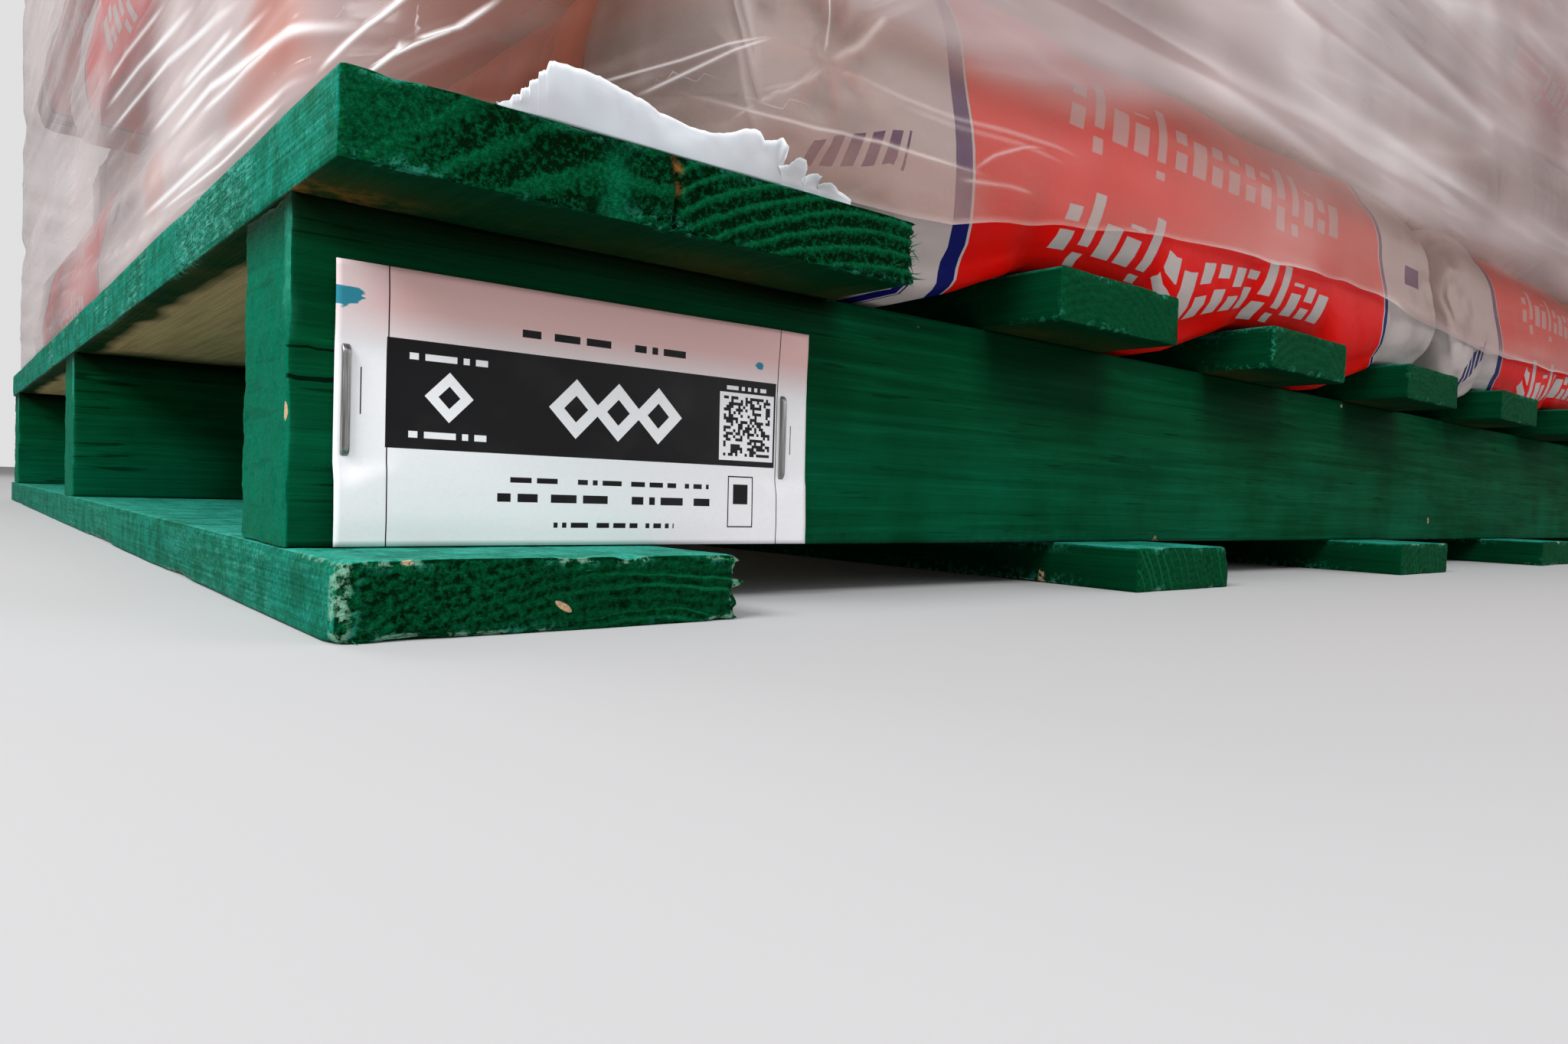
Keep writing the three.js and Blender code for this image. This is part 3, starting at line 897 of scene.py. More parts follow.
def fibre_tree(material):
    """Geometry nodes that stand torn fibres on a sawn end"""
    tree, given = new_group("torn_fibres", Density="Float", Length="Float", Thickness="Float", Seed="Int")
    seed = given["Seed"]
    fuzz = add_value(
        tree, "GeometryNodeInputNamedAttribute", "Attribute", {"Name": "fuzz"}, data_type="FLOAT"
    )
    spread = {"Mesh": given["Geometry"], "Density": fuzz * given["Density"], "Seed": seed}
    scatter = add_node(tree, "GeometryNodeDistributePointsOnFaces", spread).outputs
    cone = {
        "Vertices": 3, "Side Segments": 1, "Radius Top": 0.02 * MM,
        "Radius Bottom": given["Thickness"], "Depth": given["Length"]
    }
    sliver = add_value(tree, "GeometryNodeMeshCone", "Mesh", cone, fill_type="NGON")
    leans = {0: (-0.85, -0.85, -3.1), 1: (0.85, 0.85, 3.1), "Seed": seed}
    lean = add_value(tree, "FunctionNodeRandomValue", "Value", leans, data_type="FLOAT_VECTOR")
    turns = {"Rotation": scatter["Rotation"], "Rotate By": lean}
    turned = add_value(tree, "FunctionNodeRotateRotation", "Rotation", turns, rotation_space="LOCAL")
    sizes = {2: 0.25, 3: 1.0, "Seed": seed}
    size = add_value(tree, "FunctionNodeRandomValue", 1, sizes, data_type="FLOAT")
    size = size * scale_add(fuzz, 0.07, 1.0)
    stand = {"Points": scatter["Points"], "Instance": sliver, "Rotation": turned, "Scale": size}
    stood = add_value(tree, "GeometryNodeInstanceOnPoints", "Instances", stand)
    return finish_group(tree, stood, material)


def add_group(piece, group, values):
    """Puts a geometry nodes group on a piece, with its inputs by name"""
    modifier = piece.modifiers.new(group.name, "NODES")
    modifier.node_group = group
    for item in group.interface.items_tree:
        if item.item_type == "SOCKET" and item.in_out == "INPUT" and item.name in values:
            modifier[item.identifier] = values[item.name]


def end_patch(node, across, up):
    """A plain sheet just inside a board's near end"""
    low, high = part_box(node)
    rows = np.linspace(low.z + 0.6 * MM, high.z - 0.6 * MM, up + 1)
    columns = np.linspace(low.x + 0.8 * MM, high.x - 0.8 * MM, across + 1)
    return np.array([(x, low.y + 0.7 * MM, z) for z in rows for x in columns])


def torn_share(points, node, seed):
    """How torn each place of a board's near end is"""
    low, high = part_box(node)
    x, _, z = points.T
    edge = ramp(-(z - low.z), -3.5 * MM, 0.0) * (low.z > 50 * MM)
    sides = ramp(-np.minimum(x - low.x, high.x - x), -3 * MM, 0.0)
    knots = ramp(soft_noise(points, (16 * MM, 1, 9 * MM), seed), 0.1, 0.6)
    amount = 0.06 + 0.4 * edge + 0.4 * sides + 0.35 * knots
    if node == SHOWN_BOARD:
        amount += (5.0 * hump(x, -522 * MM, 12 * MM) + 0.8 * ramp(x, CRACK, CRACK + 10 * MM)) * edge
        amount += 2.0 * ramp(x, high.x - 3 * MM, high.x - 1 * MM)
    return amount if "lead" in node else 0.25 * amount


class SACKS_OT_fibres(bpy.types.Operator):
    """Stands torn fibres on the boards' near ends"""

    bl_idname = "pallet_of_sacks.fibres"
    bl_label = "Torn fibres"

    def execute(self, context):
        settings = context.scene.sacks_timber
        material, _, shader, place = new_finish("fibre_paint")
        tone = between(noise_of(place, 260.0), 0.35, 0.65)
        set_shader(shader, blend(tone, settings.paint_mid, settings.paint_light), 0.6, 0.1)
        points, faces, torn = [], [], []
        for number, node in enumerate(TOP_BOARDS + BOTTOM_BOARDS):
            across, up = 80 if "lead" in node else 16, 8
            sheet = end_patch(node, across, up)
            faces += grid_faces(up, across, len(points))
            points += sheet.tolist()
            torn += torn_share(sheet, node, 50 + number).tolist()
        # Splinters stand out sideways from a narrow strip at the right of the left lead board
        low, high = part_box(SHOWN_BOARD)
        levels = np.linspace(low.z + 0.8 * MM, high.z - 0.8 * MM, 9)
        start = len(points)
        points += [(high.x + 0.3 * MM, low.y + depth * MM, z) for z in levels for depth in (0.6, 3.2)]
        faces += grid_faces(len(levels) - 1, 1, start)
        torn += [12.0] * (len(points) - start)
        piece = new_piece("torn_fibres", points, faces, material, smooth=False, outward=False)
        write_attributes(piece, fuzz=torn)
        sizes = {"Density": settings.fibre_density, "Length": settings.fibre_length, "Thickness": 0.16 * MM}
        add_group(piece, fibre_tree(material), {**sizes, "Seed": 4})
        flatten_modifiers(piece)
        finish_piece(piece, "painted_timber")
        return {"FINISHED"}


# Card tag and staples


def printed_card(settings):
    """White card with a dark band and plain printed shapes, by its place on the tag"""
    material, tree, shader, place = new_finish("printed_card")
    x, _, z = (part * 1000.0 for part in parts_of(mapped(place, Location=(-TAG_LOW.x, 0.0, -TAG_LOW.z))))

    def words(left, right, low, high, beat):
        """A row of short bars, as a line of small print looks from afar"""
        chance = chance_of(maths("FLOOR", x / beat))
        return patch(x, z, left, right, low, high) * (chance > 0.28)

    folds = either(
        strip(x, 12.0, 0.16), strip(x, 131.7, 0.16), patch(x, z, 5.8, 6.1, 31, 42),
        patch(x, z, 137.3, 137.6, 28, 37)
    )
    dark = either(
        patch(x, z, 11.6, 131.1, 23.5, 49.7), folds, words(46, 100, 53.8, 55.8, 1.9),
        words(42, 106, 16.2, 17.6, 1.5), words(40, 108, 11.2, 13.4, 1.9), words(56, 94, 4.6, 6.0, 1.3)
    )
    outline = patch(x, z, 113, 122.5, 5, 20.5) - patch(x, z, 113.4, 122.1, 5.4, 20.1)
    dark = either(dark, outline, patch(x, z, 115, 120.5, 12, 18))
    light = either(
        words(17, 37, 45.0, 46.6, 1.6), words(17, 37, 26.2, 27.8, 1.6), words(112, 128, 46.4, 47.6, 1.2),
        patch(x, z, 109.5, 130.4, 25.2, 45.6)
    )
    # Four open squares on their corners
    for middle, reach in ((62.0, 8.0), (75.0, 8.0), (88.0, 8.0), (27.0, 6.2)):
        spread = abs(x - middle) + abs(z - 36.5)
        light = maths("SUBTRACT", either(light, spread < reach), spread < reach * 0.45, clamp=True)
    # Chequered square on a white ground
    cell_x, cell_z = maths("FLOOR", (x - 111.0) / 0.9), maths("FLOOR", (z - 26.5) / 0.9)
    cell = add_value(tree, "ShaderNodeCombineXYZ", 0, {0: cell_x, 1: cell_z, 2: 3.0})
    spot = add_value(tree, "ShaderNodeTexWhiteNoise", "Value", {"Vector": cell}, noise_dimensions="3D")
    chequer = (spot > 0.5) * patch(x, z, 111, 129, 26.5, 44.5)
    ink = either(maths("SUBTRACT", dark, light, clamp=True), chequer) * (direction_of(tree)[1] < -0.3)
    fleck = noise_of(place, 900.0, 4.0, 0.7)
    paper = blend(between(fleck, 0.4, 0.7, 0.0, 0.12), settings.card, (0.62, 0.6, 0.6))
    # Painted shade and red bounce light: the upper strip is darker and rosy
    painted_rosy_shade = between(z, 46.0, 57.0) * between(x, 0.0, 16.0, 0.5, 1.0)
    paper = blend(painted_rosy_shade, paper, tinted(settings.card, 0.98, 0.62, 0.58))
    faded = [0.008 + part for part in settings.ink]
    dry = blend(between(noise_of(place, 60.0, 3.0), 0.5, 0.75), settings.ink, faded)
    colour = blend(ink, paper, dry)
    # Smudges of paint off the timber
    smear = noise_of(stretched(place, (150.0, 1.0, 420.0)), 1.0, 3.0, 0.6)
    for middle_x, middle_z, wide, tall in ((1.5, 58.0, 5.0, 2.6), (124.0, 54.6, 2.2, 1.6)):
        away = squares((x - middle_x) / wide, (z - middle_z) / tall)
        paint = scale_add(smear, 3.2, away * -1.0)
        colour = blend(between(paint, 0.75, 0.95, 0.0, 0.97), colour, (0.004, 0.24, 0.33))
    set_shader(shader, colour, 0.38, 0.15)
    add_bump(shader, fleck * 0.15 - folds, 0.4, 0.25 * MM)
    return material


class SACKS_OT_tag(bpy.types.Operator):
    """Prints the card and lets its lower corners lift"""

    bl_idname = "pallet_of_sacks.tag"
    bl_label = "Card tag"

    def execute(self, context):
        curl = context.scene.sacks_tag.curl
        columns, rows = 96, 44
        u, v = np.meshgrid(np.arange(columns + 1) / columns, np.arange(rows + 1) / rows)
        u, v = u.ravel(), v.ravel()
        x = TAG_LOW.x + u * (TAG_HIGH.x - TAG_LOW.x)
        z = TAG_LOW.z + v * (TAG_HIGH.z - TAG_LOW.z)
        sheets = []
        for depth in (0.0, 0.45 * (TAG_HIGH.y - TAG_LOW.y)):
            sheet = np.stack([x, np.full(len(x), TAG_LOW.y + depth), z], 1)
            lift = curl * (1 - v) ** 2 * (0.35 + 0.65 * np.abs(2 * u - 1) ** 3)
            lift += 0.5 * curl * ramp(v, 0.75, 1.0) * ramp(u, 0.6, 1.0) * (1 - ramp(u, 0.9, 1.0) * 0.5)
            lift += 0.35 * MM * (soft_noise(sheet, 38 * MM, 7) + 1) * ramp(v * (1 - v), 0.0, 0.1)
            # The staples hold the card down
            hold = np.minimum(np.abs(u - 0.02), np.abs(u - 0.934))
            lift *= 0.25 + 0.75 * ramp(hold + np.maximum(0, np.abs(v - 0.5) - 0.2), 0.01, 0.10)
            sheet[:, 1] -= lift
            sheets.append(sheet)
        layer = len(x)
        faces = grid_faces(rows, columns) + grid_faces(rows, columns, layer, mirrored=True)
        ids = np.arange(layer).reshape(rows + 1, columns + 1)
        rim = np.concatenate([ids[0, :-1], ids[:-1, -1], ids[-1, :0:-1], ids[:0:-1, 0]]).tolist()
        faces += [(a, a + layer, b + layer, b) for a, b in zip(rim, rim[1:] + rim[:1])]
        piece = new_piece("tag", np.vstack(sheets), faces, printed_card(context.scene.sacks_tag))
        finish_piece(piece, "tag_card", "tag_card")
        return {"FINISHED"}


def wire_tree(material):
    """Geometry nodes that sweep a flat rounded wire along a bent path"""
    tree, given = new_group("staple_wire", Width="Float", Bend="Float")
    width = given["Width"]

    def rounded(curve, count, radius):
        inputs = {"Curve": curve, "Count": count, "Radius": radius}
        return add_value(tree, "GeometryNodeFilletCurve", "Curve", inputs, mode="POLY")

    bent = rounded(given["Geometry"], 6, given["Bend"])
    size = {"Width": width, "Height": width * 0.8}
    section = add_value(tree, "GeometryNodeCurvePrimitiveQuadrilateral", "Curve", size)
    sweep = {"Curve": bent, "Profile Curve": rounded(section, 3, width * 0.22), "Fill Caps": True}
    return finish_group(tree, add_value(tree, "GeometryNodeCurveToMesh", "Mesh", sweep), material)


class SACKS_OT_staples(bpy.types.Operator):
    """Bends the two staples"""

    bl_idname = "pallet_of_sacks.staples"
    bl_label = "Staples"

    def execute(self, context):
        settings = context.scene.sacks_tag
        material, _, shader, place = new_finish("staple_wire")
        drawn = noise_of(stretched(place, (4000.0, 4000.0, 60.0)), 1.0, 3.0, 0.6)
        tone = blend(between(drawn, 0.35, 0.7), (0.13, 0.125, 0.12), (0.48, 0.47, 0.46))
        set_shader(shader, tone, between(drawn, 0.3, 0.7, 0.3, 0.5), Metallic=1.0)
        add_bump(shader, drawn, 0.3, 0.1 * MM)
        group = wire_tree(material)
        for node in ("tag_staple_left", "tag_staple_right"):
            low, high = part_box(node)
            half = settings.wire / 2
            x, front, back = (low.x + high.x) / 2, low.y + half, high.y - 1 * MM
            ends = high.z - half, low.z + half
            corners = [(x, back, ends[0]), (x, front, ends[0]), (x, front, ends[1]), (x, back, ends[1])]
            line = bpy.data.curves.new(node + "_path", "CURVE")
            line.dimensions = "3D"
            spline = line.splines.new("POLY")
            spline.points.add(len(corners) - 1)
            spline.points.foreach_set("co", [number for corner in corners for number in (*corner, 1.0)])
            path = add_object(node + "_path", line)
            add_group(path, group, {"Width": settings.wire, "Bend": 2.0 * MM})
            shape = bpy.data.meshes.new_from_object(path.evaluated_get(context.evaluated_depsgraph_get()))
            bpy.data.objects.remove(path)
            shape.polygons.foreach_set("use_smooth", [True] * len(shape.polygons))
            finish_piece(add_object(node + "_wire", shape), "staple_steel", node)
        return {"FINISHED"}


# Sacks

RINGS = 52
GIRTH_STEPS = 72


def girth_point(share, width, height):
    """A point some share of the way round a sack's section, from the middle of its -Y side upwards"""
    straight = max(width - height, 0.0)
    radius = height / 2
    arc = math.pi * radius
    distance = (share * 2 * (straight + arc) + arc / 2) % (2 * (straight + arc))
    if distance < arc:
        angle = distance / radius
        return -straight / 2 - radius * math.sin(angle), -radius * math.cos(angle)
    distance -= arc
    if distance < straight:
        return -straight / 2 + distance, radius
    distance -= straight
    if distance < arc:
        angle = distance / radius
        return straight / 2 + radius * math.sin(angle), radius * math.cos(angle)
    return straight / 2 - (distance - arc), -radius


def sack_skin():
    """A closed tube of film, filled to a pillow, with the place of each point on the flat tube"""
    size = np.array(SACK_SIZE) - np.array([10, 4, 4]) * MM
    reach = size[0] / 2
    # The ends slope over this length, and the flat tube is longer than the filled one
    bend, spare = 62 * MM, 26 * MM
    girth = 2 * (size[1] - size[2]) + math.pi * size[2]
    points, faces, places = [], [], []
    ids = {}
    for i in range(RINGS + 1):
        t = 2 * i / RINGS - 1
        along = (reach + spare) * (0.86 * t + 0.14 * math.sin(t * math.pi / 2))
        turn = max(0.0, (abs(along) - (reach - bend)) / (bend + spare))
        width = size[1] - 14 * MM * turn**2
        height = min(max(size[2] * max(0.0, 1 - turn**2.6) ** 0.5, 1.2 * MM), width)
        x = math.copysign(min(abs(along), reach - bend) + bend * math.sin(turn * math.pi / 2), t)
        closed = i in (0, RINGS)
        for j in range(GIRTH_STEPS):
            key = (i, min(j, (GIRTH_STEPS - j) % GIRTH_STEPS)) if closed else (i, j)
            if key not in ids:
                y, z = girth_point(j / GIRTH_STEPS, width, height)
                ids[key] = len(points)
                points.append((x, y, 0.0 if closed else z))
            ids[i, j] = ids[key]
        places.append(along)
    uvs = []
    for i in range(RINGS):
        for j in range(GIRTH_STEPS):
            k = (j + 1) % GIRTH_STEPS
            low = girth * (j if j < GIRTH_STEPS / 2 else j - GIRTH_STEPS) / GIRTH_STEPS
            high = low + girth / GIRTH_STEPS
            kept = {}
            for ring, step, level in ((i, j, low), (i + 1, j, low), (i + 1, k, high), (i, k, high)):
                kept.setdefault(ids[ring, step], (places[ring], level))
            if len(kept) > 2:
                faces.append(list(kept))
                uvs += kept.values()
    return np.array(points), faces, np.array(uvs)


def settled_sack(seed, settings):
    """A filled sack whose skin has settled as cloth, in its own frame"""
    points, faces, uvs = sack_skin()
    lumps = np.stack([soft_noise(points, 75 * MM, seed + k) for k in range(3)], 1)
    start = points + lumps * np.array([2.0, 2.0, 2.5]) * MM
    mesh = bpy.data.meshes.new("sack_skin")
    mesh.from_pydata(start.tolist(), [], faces)
    write_map(mesh, "skin", uvs)
    skin = add_object("sack_skin", mesh)
    cloth = skin.modifiers.new("Cloth", "CLOTH")
    values = {
        "quality": 5, "mass": 0.3, "tension_stiffness": 18, "compression_stiffness": 18,
        "shear_stiffness": 8, "bending_stiffness": 0.05, "use_pressure": True,
        "uniform_pressure_force": settings.pressure, "shrink_min": -settings.slack
    }
    for name, value in values.items():
        setattr(cloth.settings, name, value)
    cloth.settings.effector_weights.gravity = 0
    cloth.point_cache.frame_start = 1
    cloth.point_cache.frame_end = settings.frames
    for number in range(1, settings.frames + 1):
        bpy.context.scene.frame_set(number)
    flatten_modifiers(skin)
    moved = read_points(skin.data) - points
    distance = np.linalg.norm(moved, axis=1, keepdims=True)
    moved *= settings.creep * np.tanh(distance / settings.creep) / np.maximum(distance, 1e-9)
    write_points(skin.data, points + moved)
    bpy.context.scene.frame_set(1)
    return skin


def mesh_arrays(mesh):
    """Points, faces and skin map of a mesh, the map's place of each point, and the points' normals"""
    faces = [tuple(polygon.vertices) for polygon in mesh.polygons]
    uvs = np.empty(len(mesh.loops) * 2, np.float32)
    mesh.uv_layers["skin"].data.foreach_get("uv", uvs)
    uvs = uvs.reshape(-1, 2).astype(float)
    corners = np.empty(len(mesh.loops), np.int64)
    mesh.loops.foreach_get("vertex_index", corners)
    at_points = np.zeros((len(mesh.vertices), 2))
    at_points[corners] = uvs
    normals = np.empty(len(mesh.vertices) * 3, np.float32)
    mesh.vertex_normals.foreach_get("vector", normals)
    return read_points(mesh), faces, uvs, at_points, normals.reshape(-1, 3).astype(float)


def creased_sack(shape, seed, settings):
    """Adds the gathers, tucks and lumps of a filled film sack, and keeps it in its own box"""
    points, _, _, skin, normals = shape
    half = np.array(SACK_SIZE) / 2
    along, round_way = skin.T
    level_skin = np.zeros(len(skin))
    near_end = ramp(np.abs(along), half[0] - 110 * MM, half[0] - 8 * MM)
    gather = soft_noise(np.stack([along * 0.25, round_way, level_skin], 1), 17 * MM, seed, 2)
    depth = settings.crease * near_end * np.maximum(1 - np.abs(gather) * 2.2, 0) ** 2
    slanted = np.stack([along + 0.6 * round_way, round_way * 0.35, level_skin], 1)
    crumple = 1 - np.abs(soft_noise(slanted, 30 * MM, seed + 3)) * 3.2
    depth += 0.45 * settings.crease * (0.25 + near_end) * np.maximum(crumple, 0) ** 2
    lumps = soft_noise(points, 60 * MM, seed + 7, 2) * 1.6 * MM
    shaped = points + normals * (lumps - depth)[:, None]
    # The filling settles, so the long sides are fullest low down and lean in above
    core = half[1] - half[2]
    straight = np.abs(shaped[:, 0]) < 0.6 * half[0]
    reach = np.percentile(np.abs(shaped[straight, 1]), 99)
    out = np.clip((np.abs(shaped[:, 1]) - core) / (reach - core), 0, 1)
    level = shaped[:, 2] / half[2]
    fullness = 0.12 + 0.48 * ramp(level, -0.35, 0.8)
    lean = 6.0 * MM * ramp(level, -0.55, 0.2) * ramp(out, 0.2, 0.7)
    side = np.sign(shaped[:, 1]) * (core + (half[1] - core) * out**fullness - lean)
    shaped[:, 1] = np.where(out > 0, side, shaped[:, 1])
    soft = np.array([7, 1.5, 5]) * MM
    limit = half - soft - 0.3 * MM
    size = np.abs(shaped)
    over = np.maximum(size - limit, 0)
    shaped = np.sign(shaped) * (np.minimum(size, limit) + soft * np.tanh(over / soft))
    return shaped, ramp(depth, 0.6 * MM, 3.5 * MM)


def board_gaps():
    """The clear spaces between the deck boards, along X"""
    boxes = [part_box(name) for name in TOP_BOARDS]
    return [(left[1].x, right[0].x) for left, right in zip(boxes, boxes[1:])]


def sink_between_boards(points, bottom, settings):
    """Lets the underside of a lowest sack sink between the boards, with rounded lower corners"""
    x, y, z = points.T
    push = np.zeros(len(points))
    pinched = np.zeros(len(points))
    for left, right in board_gaps():
        down = ramp(x, left - 1 * MM, left + 12 * MM)
        up = np.clip((right + 1 * MM - x) / (right - left - 24 * MM), 0, 1)
        push = np.maximum(push, down * up)
        pinched += hump(x, right + 1 * MM, 7 * MM)
    level = (z - bottom) / SACK_SIZE.z
    sunk = points.copy()
    sunk[:, 2] -= settings.sag * push * (1 - ramp(level, 0.0, 0.40))
    # The lower corner of each long side is an ellipse, deeper where the sack sinks
    middle = y.mean()
    half = np.abs(y - middle).max()
    wide, tall = (9 + 9 * push) * MM, (14 + 13 * push) * MM
    lowest = bottom - settings.sag * push
    outward = np.clip((np.abs(y - middle) - half + wide) / wide, 0, 1)
    downward = np.clip((lowest + tall - sunk[:, 2]) / tall, 0, 1)
    shrink = np.maximum(outward, downward) / np.maximum(np.hypot(outward, downward), 1e-6)
    corner = (outward > 0) & (downward > 0)
    side = np.sign(y - middle)
    rounded = middle + side * (half - wide + wide * outward * shrink)
    sunk[:, 1] = np.where(corner, rounded, sunk[:, 1])
    sunk[:, 2] = np.where(corner, lowest + tall - tall * downward * shrink, sunk[:, 2])
    # The skin puckers over each board's edge
    low_down = 1 - ramp(level, 0.10, 0.40)
    upright = np.stack([x + 0.25 * z, y * 0.2, z * 0.15], 1)
    pucker = np.maximum(1 - np.abs(soft_noise(upright, 8 * MM, 77)) * 3.0, 0) ** 2
    sunk[:, 1] -= side * low_down * (4.0 * MM * pinched + 5.6 * MM * push * (1 - push) * pucker)
    return sunk


def slanted_row(leaning, rise, row):
    """A row of slanted bars, whose length, width and cuts change from one to the next"""
    low, high, left, right, beat = row
    turn = (leaning - left) / beat
    place_in = (maths("FRACT", turn) - 0.5) * beat
    chance = chance_of(maths("FLOOR", turn))
    above = rise - (low + high) / 2
    long = abs(above - (chance - 0.5)) < scale_add(chance > 0.45, -8.0, (high - low) / 2)
    cut = strip(above, scale_add(chance, 24.0, -12.0), 2.2)
    bar = (abs(place_in) < scale_add(chance, 2.6, 3.2)) * long
    return maths("SUBTRACT", bar, cut, clamp=True), patch(leaning, rise, left, right, low, high)


def printed_skin(settings):
    """White sack film with a red panel, blue stripes and plain white shapes, by the skin map"""
    material, tree, shader, place = new_finish("printed_sack")
    # Millimetres along the sack from its middle, and round it, with the rise from each side's middle
    lengthways, crossways, _ = parts_of(add_value(tree, "ShaderNodeUVMap", "UV", uv_map="skin"))
    along = scale_add(lengthways, 1000.0, -7.6)
    round_way = crossways * 1000.0
    quarter = 1000 * (2 * (SACK_SIZE.y - SACK_SIZE.z) + math.pi * SACK_SIZE.z) / 4
    rise = maths("PINGPONG", abs(round_way), quarter) * maths("SIGN", round_way)
    half = settings.panel * 500
    panel = strip(along, 0.0, half)
    wide_stripe = strip(along, -half - 1.4 - 4.2, 4.2)
    thin_stripe = strip(along, half + 1.4 + 2.2, 2.2)
    # Two rows on the long sides, of which the upper was printed with less ink
    leaning = scale_add(rise, -0.34, along)
    shapes = []
    for ink, row in ((0.65, (-3, 33, -122, 122, 15.3)), (1.0, (-58, -20, -114, 114, 14.3))):
        bars, inside = slanted_row(leaning, rise, row)
        shapes.append(bars * (inside * ink))
    # Broad bars and a square on its corner on the flat faces
    face = quarter - abs(rise)
    shapes.append(strip(abs(along) + abs(face), 56.0, 14.0))
    shapes.append(patch(along, face, -130, -80, 0, 70))
    shapes.append(patch(along, face, 86, 110, 0, 88))
    # A block of fine bars low on one end
    fine_chance = chance_of(maths("FLOOR", along / 0.9))
    bars = (fine_chance > 0.45) * patch(along, rise, -214, -199, -88, -64)
    mark = patch(leaning, rise, 214, 236, -4, 8)
    # A short row of slanted dashes on the other end
    dash = maths("FRACT", leaning / 7.0) < 0.62
    tilted = scale_add(along, -0.42, rise - 91.0)
    dashes = dash * patch(leaning, tilted, -239, -202, -34, -23)
    blue = either(wide_stripe, thin_stripe, bars, mark, dashes)
    # One sack has a printed end, with a stripe round it
    inward = abs(round_way)
    end_print = (along < -258.0) * (inward > 118.0)
    end_outer = (along < -252.0) * (inward > 112.0)
    capped = attribute_of(tree, "capped")
    blue = either(blue, (end_outer - end_print) * capped)

    dust = noise_of(place, 22.0, 5.0, 0.62)
    white = blend(between(dust, 0.45, 0.75, 0.0, 0.35), settings.white, tinted(settings.white, 0.8))
    red = blend(between(dust, 0.35, 0.75), settings.red, tinted(settings.red, 0.82))
    colour = blend(end_print * capped, blend(panel, white, red), (1.0, 0.15, 0.07))
    colour = blend(either(*shapes) * panel, colour, white)
    colour = blend(blue, colour, settings.blue)
    # Painted shade in the creases
    colour = blend(attribute_of(tree, "crease") * 0.35, colour, (0.0, 0.0, 0.0))
    set_shader(shader, colour, between(dust, 0.3, 0.7, 0.32, 0.46), 0.035)
    grit = noise_of(place, 700.0, 2.0, 0.6)
    add_bump(shader, scale_add(grit, 0.06, noise_of(place, 120.0, 3.0, 0.55)), 0.35, 1.2 * MM)
    return material


class SACKS_OT_sacks(bpy.types.Operator):
    """Fills the sacks and lays them in their places"""

    bl_idname = "pallet_of_sacks.sacks"
    bl_label = "Sacks"

    def execute(self, context):
        settings = context.scene.sacks_sack
        material = printed_skin(settings)
        coarse, fine = [], []
        for number in range(3):
            skin = settled_sack(101 + 20 * number, settings)
            coarse.append(mesh_arrays(skin.data))
            modifier = skin.modifiers.new("finer", "SUBSURF")
            modifier.levels = modifier.render_levels = 1
            flatten_modifiers(skin)
            fine.append(mesh_arrays(skin.data))
            bpy.data.objects.remove(skin)
        nodes = sorted(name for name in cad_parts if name.startswith("sack_"))
        far_side = max(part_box(node)[1].y for node in nodes) - 10 * MM
        for number, node in enumerate(nodes):
            low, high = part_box(node)
            shape = (fine if node in CLOSE_SACKS else coarse)[number % 3]
            local, crease = creased_sack(shape, 300 + number, settings)
            if high.x - low.x > high.y - low.y:
                quarter_turns = 2 if high.y > far_side else 0
            else:
                quarter_turns = 1 if number % 2 else 3
            spin = np.array(Matrix.Rotation(quarter_turns * math.pi / 2, 3, "Z"))
            middle = np.array([(low.x + high.x) / 2, (low.y + high.y) / 2, high.z - SACK_SIZE.z / 2])
            placed = local @ spin.T + middle
            if node.startswith("sack_1_"):
                placed = sink_between_boards(placed, high.z - SACK_SIZE.z, settings)
            piece = new_piece(node + "_skin", placed, shape[1], material, outward=False)
            write_map(piece.data, "skin", shape[2])
            write_attributes(piece, crease=crease, capped=np.full(len(placed), float(node == "sack_1_1")))
            finish_piece(piece, "sack_plastic", node)
        return {"FINISHED"}
